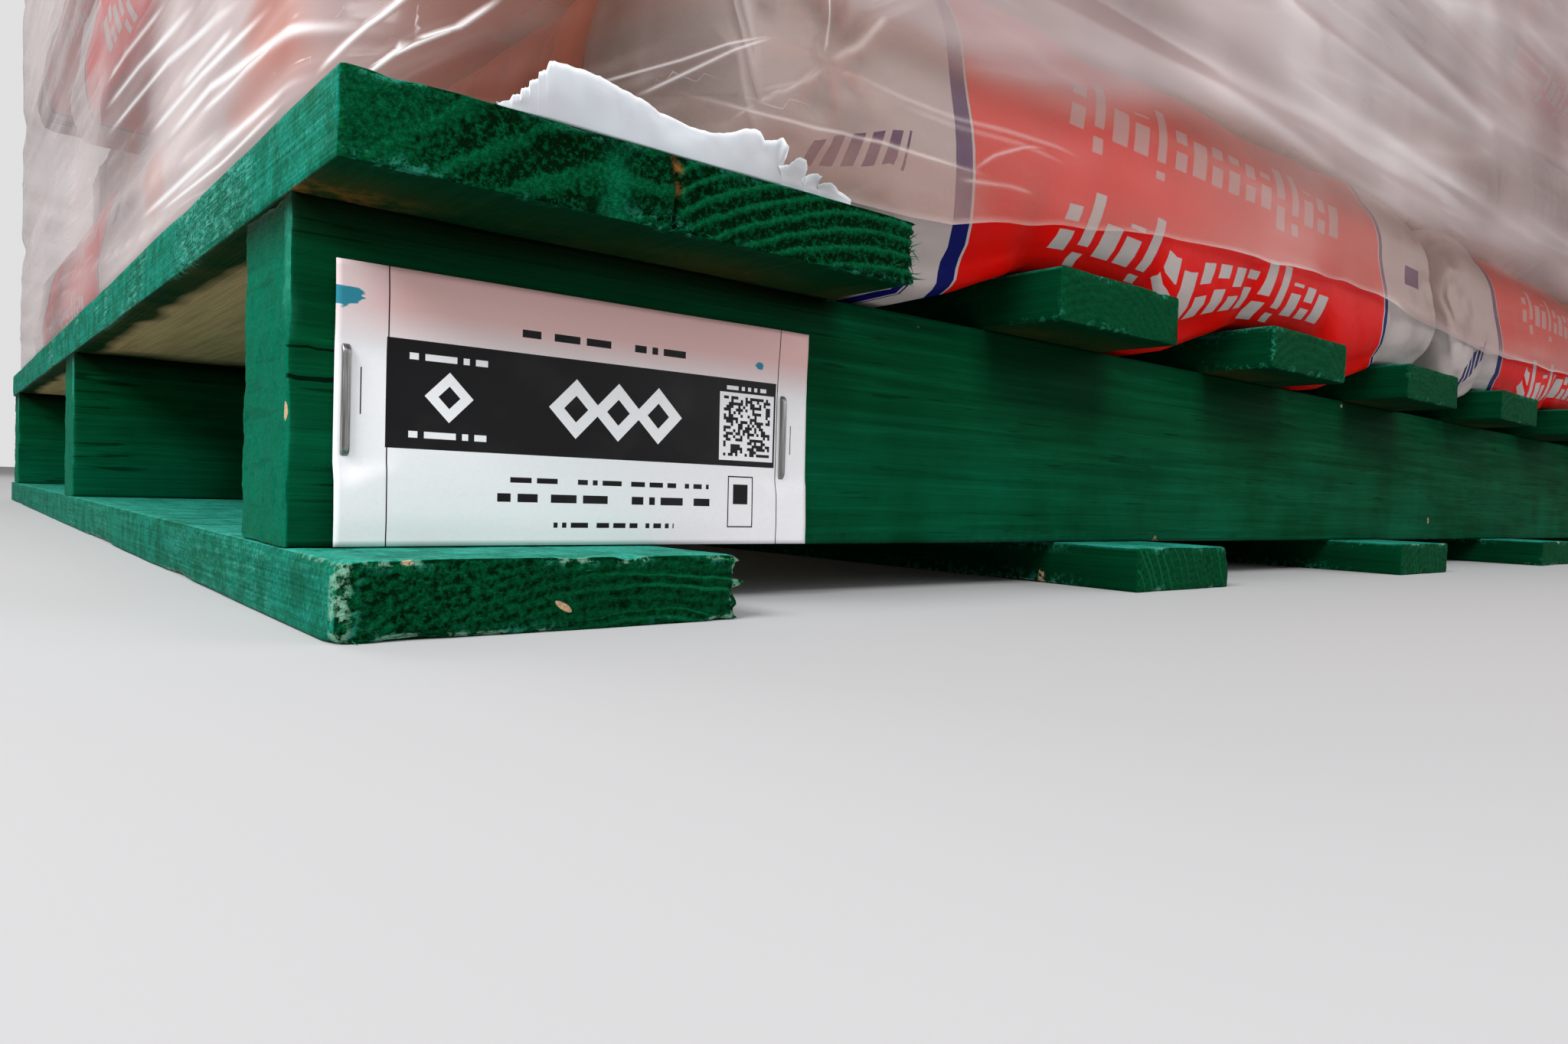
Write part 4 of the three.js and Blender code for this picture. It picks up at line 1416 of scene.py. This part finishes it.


# Stretch film

# Fine creases, drawn as painted highlights: width, strength, then places by distance from the near left
# corner and by height, in mm
FINE_CREASES = (
    (0.7, 0.45, (70, 134), (104, 136), (122, 137), (148, 139.2), (170, 139.8), (187, 140.2), (203, 141)),
    (0.8, 0.30, (183, 136), (211, 139.7), (226, 140)),
    (0.7, 0.40, (190, 140), (202, 148), (218, 154.6), (230, 157)),
    (0.9, 0.30, (126, 156.6), (156, 155), (182, 155), (209, 157.6), (235, 159), (260, 158)),
    (0.9, 0.22, (150, 152), (182, 152.5), (215, 155), (250, 154)),
    (0.8, 0.35, (100, 137), (112, 145), (122, 152), (128, 157)),
    (0.7, 0.30, (100, 141), (116, 148), (126, 157)),
    (0.6, 0.60, (125, 180), (127, 168), (128, 158.5)),
    (1.4, 0.35, (128, 158), (138, 164.5), (151, 179)),
    (0.5, 0.75, (46, 126), (54, 130.7), (77, 142.8), (91, 151), (109, 159.2)),
    (0.55, 0.75, (60, 128), (66, 131.5), (81, 141.7), (93, 150), (109, 159)),
    (0.5, 0.45, (92, 131), (97, 135), (107, 142.8), (122, 150)),
    (0.6, 0.8, (-4, 117), (9, 128), (19, 133), (30, 144)),
    (0.5, 0.7, (-1, 121), (17, 131.7), (29, 143)),
    (0.7, 0.8, (-14, 121), (3, 133.4), (16, 146)),
    (0.6, 0.80, (-20, 118.1), (-98, 119.5), (-193, 124.3)),
    (1.0, 0.90, (-6, 121.4), (-59, 122.4), (-140, 126.2), (-240, 129.7)),
    (0.8, 0.75, (-14, 133.7), (-78, 137.1), (-128, 140)),
    (1.2, 0.90, (10, 129.1), (-41, 135.7), (-111, 145.1), (-185, 147)),
    (1.0, 0.85, (-37, 144.8), (-124, 152.3), (-222, 157.5)),
    (1.0, 0.75, (-80, 152.8), (-115, 154.9), (-157, 157)),
    (1.2, 0.85, (-66, 156), (-181, 172.9), (-342, 186.2)),
    (1.3, 0.85, (-126, 175.1), (-246, 190.3), (-350, 199.8)),
    (1.3, 0.80, (-183, 194.5), (-280, 206), (-350, 212)),
)
# Broad soft bands that stand out a little and are milkier as painted highlights, in the same numbers
BROAD_BANDS = (
    (5.5, 0.50, (320, 222), (384, 229), (492, 231), (566, 232), (668, 230), (866, 221), (1000, 216)),
    (4.5, 0.60, (420, 292), (471, 288), (531, 287), (594, 285), (689, 281), (858, 292), (1000, 300)),
    (7.0, 0.55, (520, 314), (576, 322), (652, 327), (743, 329), (950, 329)),
    (6.0, 0.50, (590, 330), (624, 338), (722, 358), (900, 364)),
    (4.5, 0.35, (370, 262), (400, 260), (450, 258)),
    (4.5, 0.40, (300, 210), (372, 205.4), (425, 203), (526, 201), (633, 196), (900, 197)),
    (5.0, 0.40, (150, 176), (192, 182), (242, 194.6), (290, 199)),
    (2.4, 0.28, (175, 170), (221, 179), (260, 188)),
    (3.0, 0.30, (215, 170), (260, 176), (330, 178), (420, 172)),
    (2.0, 0.80, (500, 153), (539, 150), (590, 146.6), (683, 142.2), (787, 141.2), (950, 140.5)),
)
# Sets that the fine creases are dealt out to, so that neighbours are in different ones
CREASE_SETS = 3
# Where the film catches on the near sack, by distance from the near left corner and by height
PINCH = (0.128, 0.1595)
# The film's loose lower edge, in the same numbers
FILM_EDGE = (
    (-0.36, 0.117), (-0.02, 0.117), (0.03, 0.1175), (0.0917, 0.1185), (0.1817, 0.121),
    (0.2117, 0.128), (0.3117, 0.141), (0.4617, 0.149), (0.5217, 0.150), (0.5617, 0.145),
    (0.7017, 0.139), (0.8917, 0.143), (1.1917, 0.142),
)
# The line that the film is milky above, and the one that a second ply hangs below
MILKY_ABOVE = (
    (0.05, 0.22), (0.13, 0.172), (0.2, 0.172), (0.25, 0.178), (0.33, 0.195), (0.42, 0.203), (0.9, 0.198)
)
PLY_BELOW = ((0.04, 0.132), (0.122, 0.137), (0.148, 0.1392), (0.203, 0.141))
# Patches of painted red light from the print on the left side: distance, height, half width, half height and
# strength
BLUSHES = (
    (-0.044, 0.137, 0.044, 0.021, 0.8),
    (-0.205, 0.136, 0.026, 0.014, 0.35),
    (-0.256, 0.165, 0.026, 0.017, 0.3),
)
# The scrap's torn upper edge from the left, with three hooked tongues at the right: X, and height
# over the board, in mm
TORN_EDGE = (
    (-566, 0.5), (-563, 2.0), (-562.3, 3.4), (-560.6, 4.0), (-560.4, 5.2), (-558.6, 6.0),
    (-558.4, 7.6), (-556.4, 8.4), (-556.2, 10.2), (-554.4, 11.2), (-553.8, 13.0), (-552.6, 13.6),
    (-544.5, 13.7), (-540, 13.1), (-534.6, 11.9), (-528.8, 11.0), (-524, 9.4), (-515.5, 8.5),
    (-509, 8.2), (-502.8, 9.6), (-497.5, 12.1), (-493.5, 12.4), (-491.6, 10.2), (-489.2, 10.8),
    (-486.8, 11.7), (-485.0, 9.4), (-484.9, 7.0), (-486.8, 4.6), (-483.6, 5.6), (-481.0, 8.0),
    (-478.0, 7.8), (-476.8, 5.8), (-478.6, 3.0), (-474.6, 5.4), (-471.8, 4.9), (-472.8, 2.5),
    (-469, 4.0), (-465, 3.3), (-459, 1.6),
)


def nearest_run(signed, z, runs):
    """How many widths each place lies from the nearest run, on which side, and the run's strength there"""
    closest, away, gain = np.full(len(z), 1.0), np.full(len(z), 9.0), np.zeros(len(z))
    spread = np.zeros(len(z))
    for width, strength, *places in runs:
        places = np.array(places) * MM
        steps = np.diff(places, axis=0)
        spans = np.hypot(*steps.T)
        before = np.concatenate([[0], np.cumsum(spans)])
        nearest = np.full(len(z), 1.0)
        level = np.zeros(len(z))
        for (x0, z0), (dx, dz), span, start in zip(places, steps, spans, before):
            t = np.clip(((signed - x0) * dx + (z - z0) * dz) / span**2, 0, 1)
            off_x, off_z = signed - x0 - t * dx, z - z0 - t * dz
            distance = np.hypot(off_x, off_z)
            share = (start + t * span) / before[-1]
            fade = strength * ramp(share, 0, 0.22) * ramp(1 - share, 0, 0.22)
            level = np.where(distance < nearest, fade * np.exp(-((distance / (width * MM)) ** 2)), level)
            nearest = np.minimum(nearest, distance)
            closer = distance < closest
            side = np.where(dx * off_z - dz * off_x < 0, -1.0, 1.0)
            away = np.where(closer, side * distance / (width * MM), away)
            gain = np.where(closer, fade * (1 - ramp(distance, 4 * MM, 7 * MM)), gain)
            closest = np.minimum(closest, distance)
        spread = np.maximum(spread, level)
    return np.clip(away, -9, 9), gain, spread


def streaks(wall, direction, length, width, sharp, reach):
    """Thin ridges that run in one direction over the film, from 0 to 1, by its place on the wall"""
    turned = mapped(wall, Rotation=(0.0, 0.0, -math.radians(direction)))
    value = noise_of(stretched(turned, (1.0 / length, 1.0 / width, 1.0)), 1.0, 2.0, 0.45)
    away = abs(value - 0.5) * reach
    return maths("POWER", maths("SUBTRACT", 1.0, away, clamp=True), sharp)


def clear_film(name, settings, tint, shaded, warmth, thinnest):
    """Glossy milky film, whose cover comes from the sheet's haze and from fine pleats, with painted
    highlights and painted shade on the long sides
    """
    material, tree, shader, place = new_finish(name)
    wall = add_value(tree, "ShaderNodeUVMap", "UV", uv_map="wall")
    haze, left, corner = (attribute_of(tree, part) for part in ("haze", "left_side", "corner"))
    near = maths("SUBTRACT", 1.0 - left, corner, clamp=True)
    fine, broad = 0.0, 0.0
    for weight, direction, length, width, thin_share, wide_share in (
        (near, 0.5, 0.70, 0.032, 0.08, 0.9),
        (corner, 31.0, 0.30, 0.012, 0.40, 0.4),
        (left, -3.0, 0.90, 0.012, 0.20, 0.7),
    ):
        thin = streaks(wall, direction, length, width, 3.0, 9.0) * thin_share
        wide = streaks(wall, direction + 4.0, length, width * 2.6, 1.5, 5.0) * wide_share
        fine = scale_add(thin, weight, fine)
        broad = scale_add(wide, weight, broad)
    fine = fine * between(noise_of(place, 14.0, 1.0, 0.5), 0.46, 0.62)
    # Drawn creases that lie close together are in different sets
    for part in range(CREASE_SETS):
        across = attribute_of(tree, f"crease_away_{part}")
        drawn = maths("EXPONENT", across * across * -1.0)
        fine = either(fine, drawn * attribute_of(tree, f"crease_gain_{part}"))
    cover = haze * between(noise_of(place, 9.0, 2.0, 0.5), 0.3, 0.7, 0.75, 1.15)
    # Painted highlights: streaks and drawn creases cover more and turn to the gleam colour
    cover = scale_add(fine, 0.55, cover)
    cover = scale_add(broad, scale_add(haze, 0.35, 0.05), cover, clamp=True)
    shine = scale_add(broad, 0.18, fine, clamp=True)
    # Painted light from the print behind: thin film takes a warm tone, and the left side red patches; the
    # long sides take the shaded tint as painted shade
    blushed = blend(attribute_of(tree, "blush"), tint, (0.66, 0.2, 0.13))
    milk = blend(between(haze, 0.27, 0.6), tinted(shaded, *warmth), shaded)
    colour = blend(shine, blend(left, milk, blushed), settings.gleam)
    set_shader(shader, colour, 0.17, 0.28, IOR=1.5, Alpha=between(cover, 0.0, 1.0, thinnest))
    add_bump(shader, scale_add(fine, 0.5, broad), 0.4, 1.5 * MM)
    material.surface_render_method = "BLENDED"
    return material


def film_path(stations):
    """Places round the load, with their outward directions, for distances from the near left corner"""
    inset = 0.6 * MM
    left, right = FILM_LOW.x + inset, FILM_HIGH.x - inset
    near, far = FILM_LOW.y + inset, FILM_HIGH.y - inset
    radius = 36 * MM
    length, width = right - left - 2 * radius, far - near - 2 * radius
    arc = radius * math.pi / 2
    total = 2 * (length + width + 2 * arc)
    starts = np.cumsum([0, length, arc, width, arc, length, arc, width])
    left, right, near, far = left + radius, right - radius, near + radius, far - radius
    corners = np.array([(right, near), (right, far), (left, far), (left, near)])
    distance = (np.asarray(stations) - arc / 2) % total
    part = np.searchsorted(starts, distance, side="right") - 1
    rest = distance - starts[part]
    side, turning = np.divmod(part, 2)
    angle = (side - 1) * math.pi / 2 + turning * rest / radius
    outward = np.stack([np.cos(angle), np.sin(angle)], 1)
    share = np.where(turning, 1.0, rest / np.where(side % 2, width, length))[:, None]
    centre = corners[side - 1] + (corners[side] - corners[side - 1]) * share
    return centre + radius * outward, outward, total


def film_edge(stations, total):
    """Height of the film's loose lower edge"""
    waves = np.outer(stations, (1, 0, 0))
    lower = np.interp(stations, *zip(*FILM_EDGE))
    lower = np.where(stations > 1.2, (138 + 7 * soft_noise(waves, 0.16, 3)) * MM, lower)
    lower = np.where(stations > total - 0.5, 117 * MM, lower)
    lower = np.maximum(lower + 0.8 * MM * soft_noise(waves, 0.02, 4), DECK_TOP + 0.8 * MM)
    # On the left the edge is tucked down behind the board's worn arris
    tucked = np.maximum(1 - ramp(stations, -0.015, 0.0), ramp(stations, total - 1.0, total - 0.98))
    return lower + (DECK_TOP - 1.2 * MM - lower) * tucked


class Wall:
    """Distance and height of the points of the film's wall, with the folds that its parts share"""

    def __init__(self, stations, total, top):
        lower = film_edge(stations, total)
        shares = np.concatenate([np.arange(0, 0.165, 2.4 * MM), np.linspace(0.165, top - DECK_TOP, 56)])
        self.levels = lower + (top - lower) * (shares / shares[-1])[:, None]
        self.above_edge = (self.levels - lower).ravel()
        self.z = self.levels.ravel()
        around = np.tile(stations, len(shares))
        self.signed = np.where(around > total / 2, around - total, around)
        self.left_side = 1 - ramp(self.signed, -0.03, 0.02)
        self.corner = (1 - self.left_side) * (1 - ramp(self.signed, 0.10, 0.19))
        self.long_folds = self.folds(0.5, 0.50, 0.030, 41, 2) * (1 - self.left_side) * (1 - self.corner)
        self.long_folds *= ramp(self.z, 0.17, 0.21)
        self.rising_folds = self.folds(31, 0.13, 0.012, 43, 3) * self.corner
        self.pleats = self.folds(-4, 0.26, 0.014, 45, 3) * self.left_side
        self.bands = nearest_run(self.signed, self.z, BROAD_BANDS)[2]
        # The film is pinched where it catches on the near sack
        across, up = self.signed - PINCH[0], self.z - PINCH[1]
        self.from_pinch = np.hypot(across, up)
        self.spokes = np.abs(np.sin(np.arctan2(up, across) * 4 + 1.5 * self.noise(0.06, 0.06, 61))) ** 4

    def noise(self, wide, tall, seed, slant=0.0):
        """Soft noise over the wall, with cells of one size"""
        place = np.stack([self.signed, self.z + slant * self.signed, 0 * self.z], 1)
        return soft_noise(place, (wide, tall, 1.0), seed)

    def folds(self, direction, length, width, seed, sharp):
        """Ridges that run in one direction, as a height from 0 to 1"""
        angle = math.radians(direction)
        lengthwise = self.signed * math.cos(angle) + self.z * math.sin(angle)
        crosswise = -self.signed * math.sin(angle) + self.z * math.cos(angle)
        spread = np.stack([lengthwise, crosswise, 0 * self.z], 1)
        value = soft_noise(spread, (length, width, 1.0), seed)
        return np.clip(1 - np.abs(value) * 1.7, 0, 1) ** sharp


def film_lift(wall, settings):
    """How far the film stands out from the load"""
    signed, z = wall.signed, wall.z
    folded = 0.35 * wall.long_folds + 0.45 * wall.rising_folds + 0.35 * wall.pleats + 0.4 * wall.bands
    pulled = 0.4 * wall.spokes * hump(wall.from_pinch, 0, 0.026)
    lift = ramp(wall.noise(0.13, 0.06, 21), -0.2, 0.9) * 1.8 * MM + settings.pleat * (folded + pulled)
    lift -= 4.0 * MM * hump(wall.from_pinch, 0, 0.007)
    # Between two layers, and at the loose lower edge, the film draws in
    layer = (z - DECK_TOP) / (SACK_SIZE.z + 0.3 * MM)
    joint = (layer - np.round(layer)) * SACK_SIZE.z
    lift -= 2.6 * MM * hump(joint, 0, 9 * MM) * ramp(z, 0.19, 0.21)
    lift += ramp(-wall.above_edge, -14 * MM, 0) * 0.9 * MM * wall.noise(0.04, 0.05, 71)
    lift -= 2.6 * MM * wall.left_side * ramp(-z, -DECK_TOP - 1.2 * MM, -DECK_TOP + 1.0 * MM)
    # The torn scrap stands before the film
    behind = ramp(signed, 0.02, 0.04) * (1 - ramp(signed, 0.13, 0.15)) * (1 - ramp(z, 0.130, 0.140))
    return np.where(lift > 0, lift * (1 - 0.8 * behind), lift)


def film_haze(wall, settings):
    """How much the film covers what is behind it, from 0 to 1"""
    signed, z, left_side = wall.signed, wall.z, wall.left_side
    haze = settings.haze * (1 + 0.5 * wall.noise(0.22, 0.08, 81))
    # Milky above a line that rises to the right, where more turns of film lie over each other
    line = np.interp(signed, *zip(*MILKY_ABOVE))
    milky = ramp(z + 5 * MM * wall.noise(0.08, 0.03, 85), line - 9 * MM, line + 11 * MM)
    near_side = (1 - left_side) * ramp(signed, 0.05, 0.12)
    haze += near_side * (0.42 * milky + 0.04 + 0.16 * ramp(signed, 0.24, 0.45) * (1 - milky))
    haze += (0.26 + 0.30 * ramp(wall.noise(0.14, 0.09, 83), -0.3, 0.6)) * left_side
    haze += 0.24 * (1 - left_side) * (1 - ramp(signed, 0.03, 0.06))
    # The broad bands cover more, as painted highlights
    haze += 0.18 * wall.pleats + 0.10 * wall.long_folds + 0.08 * wall.rising_folds + 0.30 * wall.bands
    haze += 0.25 * ramp(-wall.above_edge, -1.0 * MM, 0)
    haze += 0.25 * wall.spokes * hump(wall.from_pinch, 0, 0.02)
    # A second ply hangs below a slanting line on the near face
    line = np.interp(signed, *zip(*PLY_BELOW))
    haze += 0.17 * ramp(line - z, -0.4 * MM, 0.4 * MM) * near_side * (1 - ramp(signed, 0.18, 0.21))
    return np.clip(haze, 0.06, 0.92)


def film_blush(wall):
    """Painted red light from the print behind, on the film's left side, in patches drawn out along its pleats
    """
    drawn_out = wall.noise(0.05, 0.012, 91, slant=0.25)
    blush = np.zeros(len(wall.z))
    for around, up, wide, tall, share in BLUSHES:
        spot = ((wall.signed - around) / wide) ** 2 + ((wall.z - up) / tall) ** 2
        blush = np.maximum(blush, share * ramp(1.0 + 0.5 * drawn_out - spot, 0.0, 0.9))
    return blush * wall.left_side


class SACKS_OT_film(bpy.types.Operator):
    """Wraps the load in pleated film"""

    bl_idname = "pallet_of_sacks.film"
    bl_label = "Stretch film"

    def execute(self, context):
        settings = context.scene.sacks_film
        total = film_path([0.0])[2]
        close, next_to_it = np.arange(-0.36, 0.3, 2.4 * MM), np.arange(0.3, 0.9, 4 * MM)
        stations = np.concatenate([close, next_to_it, np.linspace(0.9, total - 0.36, 170)[:-1]])
        path, outward, total = film_path(stations)
        count = len(stations)
        top = FILM_HIGH.z - 0.5 * MM
        wall = Wall(stations, total, top)
        rows = len(wall.levels)
        lift = film_lift(wall, settings)[:, None]
        lifted = np.tile(path, (rows, 1)) + np.tile(outward, (rows, 1)) * lift
        sheets, levels = [np.column_stack([lifted, wall.z])], list(wall.levels)
        # The lip that laps onto the top layer
        lip, lip_rows = 34 * MM, 3
        for row in range(1, lip_rows + 1):
            inward = path - outward * lip * row / lip_rows
            crumple = 0.5 * MM * soft_noise(np.column_stack([inward, np.zeros(count)]), 0.05, 90 + row)
            sheets.append(np.column_stack([inward, top + np.minimum(crumple - 0.2 * MM * row, 0)]))
            levels.append(np.full(count, top + lip * row / lip_rows))
        reach = np.append(stations, total + stations[0])
        faces, places = [], []
        for row, (low, high) in enumerate(zip(levels, levels[1:])):
            for here in range(count):
                after = (here + 1) % count
                a, b = row * count + here, row * count + after
                faces.append((a, b, b + count, a + count))
                left, right = reach[here], reach[here + 1]
                places += [(left, low[here]), (right, low[after]), (right, high[after]), (left, high[here])]
        warmth = (1.12, 0.64, 0.4)
        material = clear_film("stretch_film", settings, settings.tint, settings.shaded, warmth, 0.0)
        piece = new_piece("film_round_the_load", np.vstack(sheets), faces, material, outward=False)
        write_map(piece.data, "wall", places)
        values = {"left_side": wall.left_side, "corner": wall.corner, "blush": film_blush(wall)}
        for part in range(CREASE_SETS):
            away, gain, _ = nearest_run(wall.signed, wall.z, FINE_CREASES[part::CREASE_SETS])
            values |= {f"crease_away_{part}": away, f"crease_gain_{part}": gain}
        lip_haze = np.full(lip_rows * count, 0.3)
        write_attributes(piece, haze=np.append(film_haze(wall, settings), lip_haze))
        write_attributes(piece, **{key: np.append(value, 0 * lip_haze) for key, value in values.items()})
        finish_piece(piece, "stretch_film", "film_wrap")
        return {"FINISHED"}


class SACKS_OT_scrap(bpy.types.Operator):
    """Tears and curls the loose end of film on the lead board"""

    bl_idname = "pallet_of_sacks.scrap"
    bl_label = "Torn film"

    def execute(self, context):
        settings = context.scene.sacks_film
        low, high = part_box("film_scrap")
        edge = np.array(TORN_EDGE) * MM
        knots = np.linspace(0, 1, len(edge))
        columns, rows = 280, 40
        u, v = np.meshgrid(np.linspace(0, 1, columns + 1), np.linspace(0, 1, rows + 1))
        u, v = u.ravel(), v.ravel()
        ragged = 0.22 * MM * soft_noise(np.outer(u, (1, 0, 0)), 0.006, 5)
        tip_x = np.interp(u, knots, edge[:, 0])
        tip_z = np.interp(u, knots, edge[:, 1]) + ragged
        foot_x = np.interp(u, knots, np.maximum.accumulate(edge[:, 0]))
        # The sheet lies flat for its first half and then stands up
        run, climb = np.clip(2 * v, 0, 1), np.clip(2 * v - 1, 0, 1)
        x = foot_x + (tip_x - foot_x) * climb**2
        z = DECK_TOP + 0.5 * MM + tip_z * climb
        y = high.y - (high.y - low.y - 2.2 * MM) * run
        tall = 30 * MM
        place = np.stack([x, v * tall, 0 * x], 1)
        y += 0.9 * MM * climb * soft_noise(place, (14 * MM, 30 * MM, 1), 15)
        y += 0.3 * MM * soft_noise(place, (4 * MM, 6 * MM, 1), 16) * climb
        # The tongues curl towards the front, and the hollows between them stand back
        tongue = ramp(u, 0.58, 0.66) * (1 - ramp(u, 0.95, 1.0))
        swell = tip_z - np.interp(u, [0.6, 1.0], [8 * MM, 2.5 * MM])
        y -= tongue * climb**3 * np.clip(0.55 * swell + 1.0 * MM, 0, 2.6 * MM)
        z += 0.8 * MM * (1 + soft_noise(place, (12 * MM, 9 * MM, 1), 17)) * run * (1 - climb) * (run < 1)
        points = np.stack([x, np.minimum(y, high.y), z], 1)
        faces = grid_faces(rows, columns, mirrored=True)
        white = (0.56, 0.59, 0.63)
        material = clear_film("torn_film", settings, white, white, (1, 1, 1), 0.2)
        piece = new_piece("torn_film", points, faces, material, outward=False)
        write_map(piece.data, "wall", np.column_stack([x, v * tall])[np.array(faces).ravel()])
        cloudy = soft_noise(place, (10 * MM, 8 * MM, 1), 18, 2)
        haze = 0.8 + 0.12 * cloudy - 0.25 * tongue * (1 - climb) + 0.3 * climb**6
        haze -= 0.28 * ramp(x, -520 * MM, -495 * MM) * (1 - climb**4)
        # Painted highlight: the torn rim is whiter than the sheet
        rim = {"crease_away_0": 14 * (1 - climb), "crease_gain_0": np.full(len(x), 0.8)}
        write_attributes(piece, haze=np.clip(haze, 0, 1), **rim)
        finish_piece(piece, "stretch_film", "film_scrap")
        return {"FINISHED"}


# Stage


def area_light(name, place, target, power, size, colour=(1.0, 1.0, 1.0)):
    lamp = bpy.data.lights.new(name, "AREA")
    lamp.shape = "RECTANGLE"
    lamp.size, lamp.size_y = size
    lamp.energy = power
    lamp.color = colour
    holder = add_object(name, lamp)
    holder.location = place
    holder.rotation_mode = "QUATERNION"
    holder.rotation_quaternion = (Vector(target) - Vector(place)).to_track_quat("-Z", "Y")


def lay_floor(settings):
    material, _, shader, place = new_finish("pale_floor")
    tone = between(noise_of(place, 1.5, 3.0), 0.3, 0.7, 0.0, 0.12)
    set_shader(shader, blend(tone, settings.floor, tinted(settings.floor, 0.9)), 0.85)
    reach = 14.0
    corners = [(-reach, -reach, 0), (reach, -reach, 0), (reach, reach, 0), (-reach, reach, 0)]
    floor = new_piece("floor", corners, [(0, 1, 2, 3)], material, smooth=False, outward=False)


def light_load(scene, settings):
    scene.world = bpy.data.worlds.new("studio")
    scene.world.use_nodes = True
    tree = scene.world.node_tree
    # The camera sees a paler backdrop than the light that falls on the load
    seen = add_value(tree, "ShaderNodeLightPath", "Is Camera Ray")
    strength = scale_add(seen, settings.backdrop - settings.sky, settings.sky)
    fill_inputs(tree.nodes["Background"], {"Color": (0.96, 0.96, 0.97, 1.0), "Strength": strength})
    middle, cool = (-0.35, -0.35, 0.25), (0.92, 0.97, 1.0)
    area_light("key", (-2.2, -0.9, 1.5), middle, settings.key, (1.2, 0.8), (0.93, 0.97, 1.0))
    area_light("strip", (-1.0, -2.4, 2.1), middle, settings.fill, (1.8, 0.5))
    area_light("far_fill", (2.2, -2.5, 1.4), (0.3, -0.2, 0.3), 1.4 * settings.fill, (2.6, 1.8), cool)
    area_light("back_strip", (-1.3, 2.4, 1.9), (-0.6, 0.0, 0.3), settings.fill, (1.6, 0.4))
    scene.view_settings.view_transform = "Standard"


def place_camera(scene, settings):
    camera = add_object("camera", bpy.data.cameras.new("camera"))
    camera.data.sensor_width = 36.0
    camera.data.lens = settings.lens
    camera.data.clip_start = 0.01
    yaw, pitch, roll = (math.radians(a) for a in (50.094, -1.715, 2.021))
    ahead = Vector((math.cos(yaw) * math.cos(pitch), math.sin(yaw) * math.cos(pitch), math.sin(pitch)))
    level = Vector((math.sin(yaw), -math.cos(yaw), 0.0))
    above = level.cross(ahead)
    right = level * math.cos(roll) + above * math.sin(roll)
    up = above * math.cos(roll) - level * math.sin(roll)
    turn = Matrix((right, up, -ahead)).transposed().to_4x4()
    turn.translation = Vector((-661.73, -711.40, 33.84)) * MM
    camera.matrix_world = turn
    scene.camera = camera


class SACKS_OT_stage(bpy.types.Operator):
    """Lays the floor and sets the lights and the camera"""

    bl_idname = "pallet_of_sacks.stage"
    bl_label = "Stage"

    def execute(self, context):
        settings = context.scene.sacks_stage
        lay_floor(settings)
        light_load(context.scene, settings)
        place_camera(context.scene, settings)
        return {"FINISHED"}


GROUPS = (
    ("sacks_timber", TimberSettings),
    ("sacks_sack", SackSettings),
    ("sacks_film", FilmSettings),
    ("sacks_tag", TagSettings),
    ("sacks_stage", StageSettings),
)
STEPS = (
    SACKS_OT_timber,
    SACKS_OT_fibres,
    SACKS_OT_tag,
    SACKS_OT_staples,
    SACKS_OT_sacks,
    SACKS_OT_film,
    SACKS_OT_scrap,
    SACKS_OT_stage,
)


class SACKS_PT_panel(bpy.types.Panel):
    """Lists the pieces of the loaded pallet and their settings"""

    bl_idname = "SACKS_PT_panel"
    bl_label = "Pallet of sacks"
    bl_space_type = "VIEW_3D"
    bl_region_type = "UI"
    bl_category = "Sacks"

    def draw(self, context):
        for step in STEPS:
            self.layout.operator(step.bl_idname)
        for name, group in GROUPS:
            box = self.layout.box()
            box.label(text=group.__doc__)
            for key in group.__annotations__:
                box.prop(getattr(context.scene, name), key)


def register():
    for name, group in GROUPS:
        bpy.utils.register_class(group)
        setattr(bpy.types.Scene, name, bpy.props.PointerProperty(type=group))
    for step in STEPS:
        bpy.utils.register_class(step)
    bpy.utils.register_class(SACKS_PT_panel)


def unregister():
    bpy.utils.unregister_class(SACKS_PT_panel)
    for step in reversed(STEPS):
        bpy.utils.unregister_class(step)
    for name, group in reversed(GROUPS):
        delattr(bpy.types.Scene, name)
        bpy.utils.unregister_class(group)


def main():
    register()
    for step in STEPS:
        area, action = step.bl_idname.split(".")
        getattr(getattr(bpy.ops, area), action)()


if __name__ == "__main__":
    main()
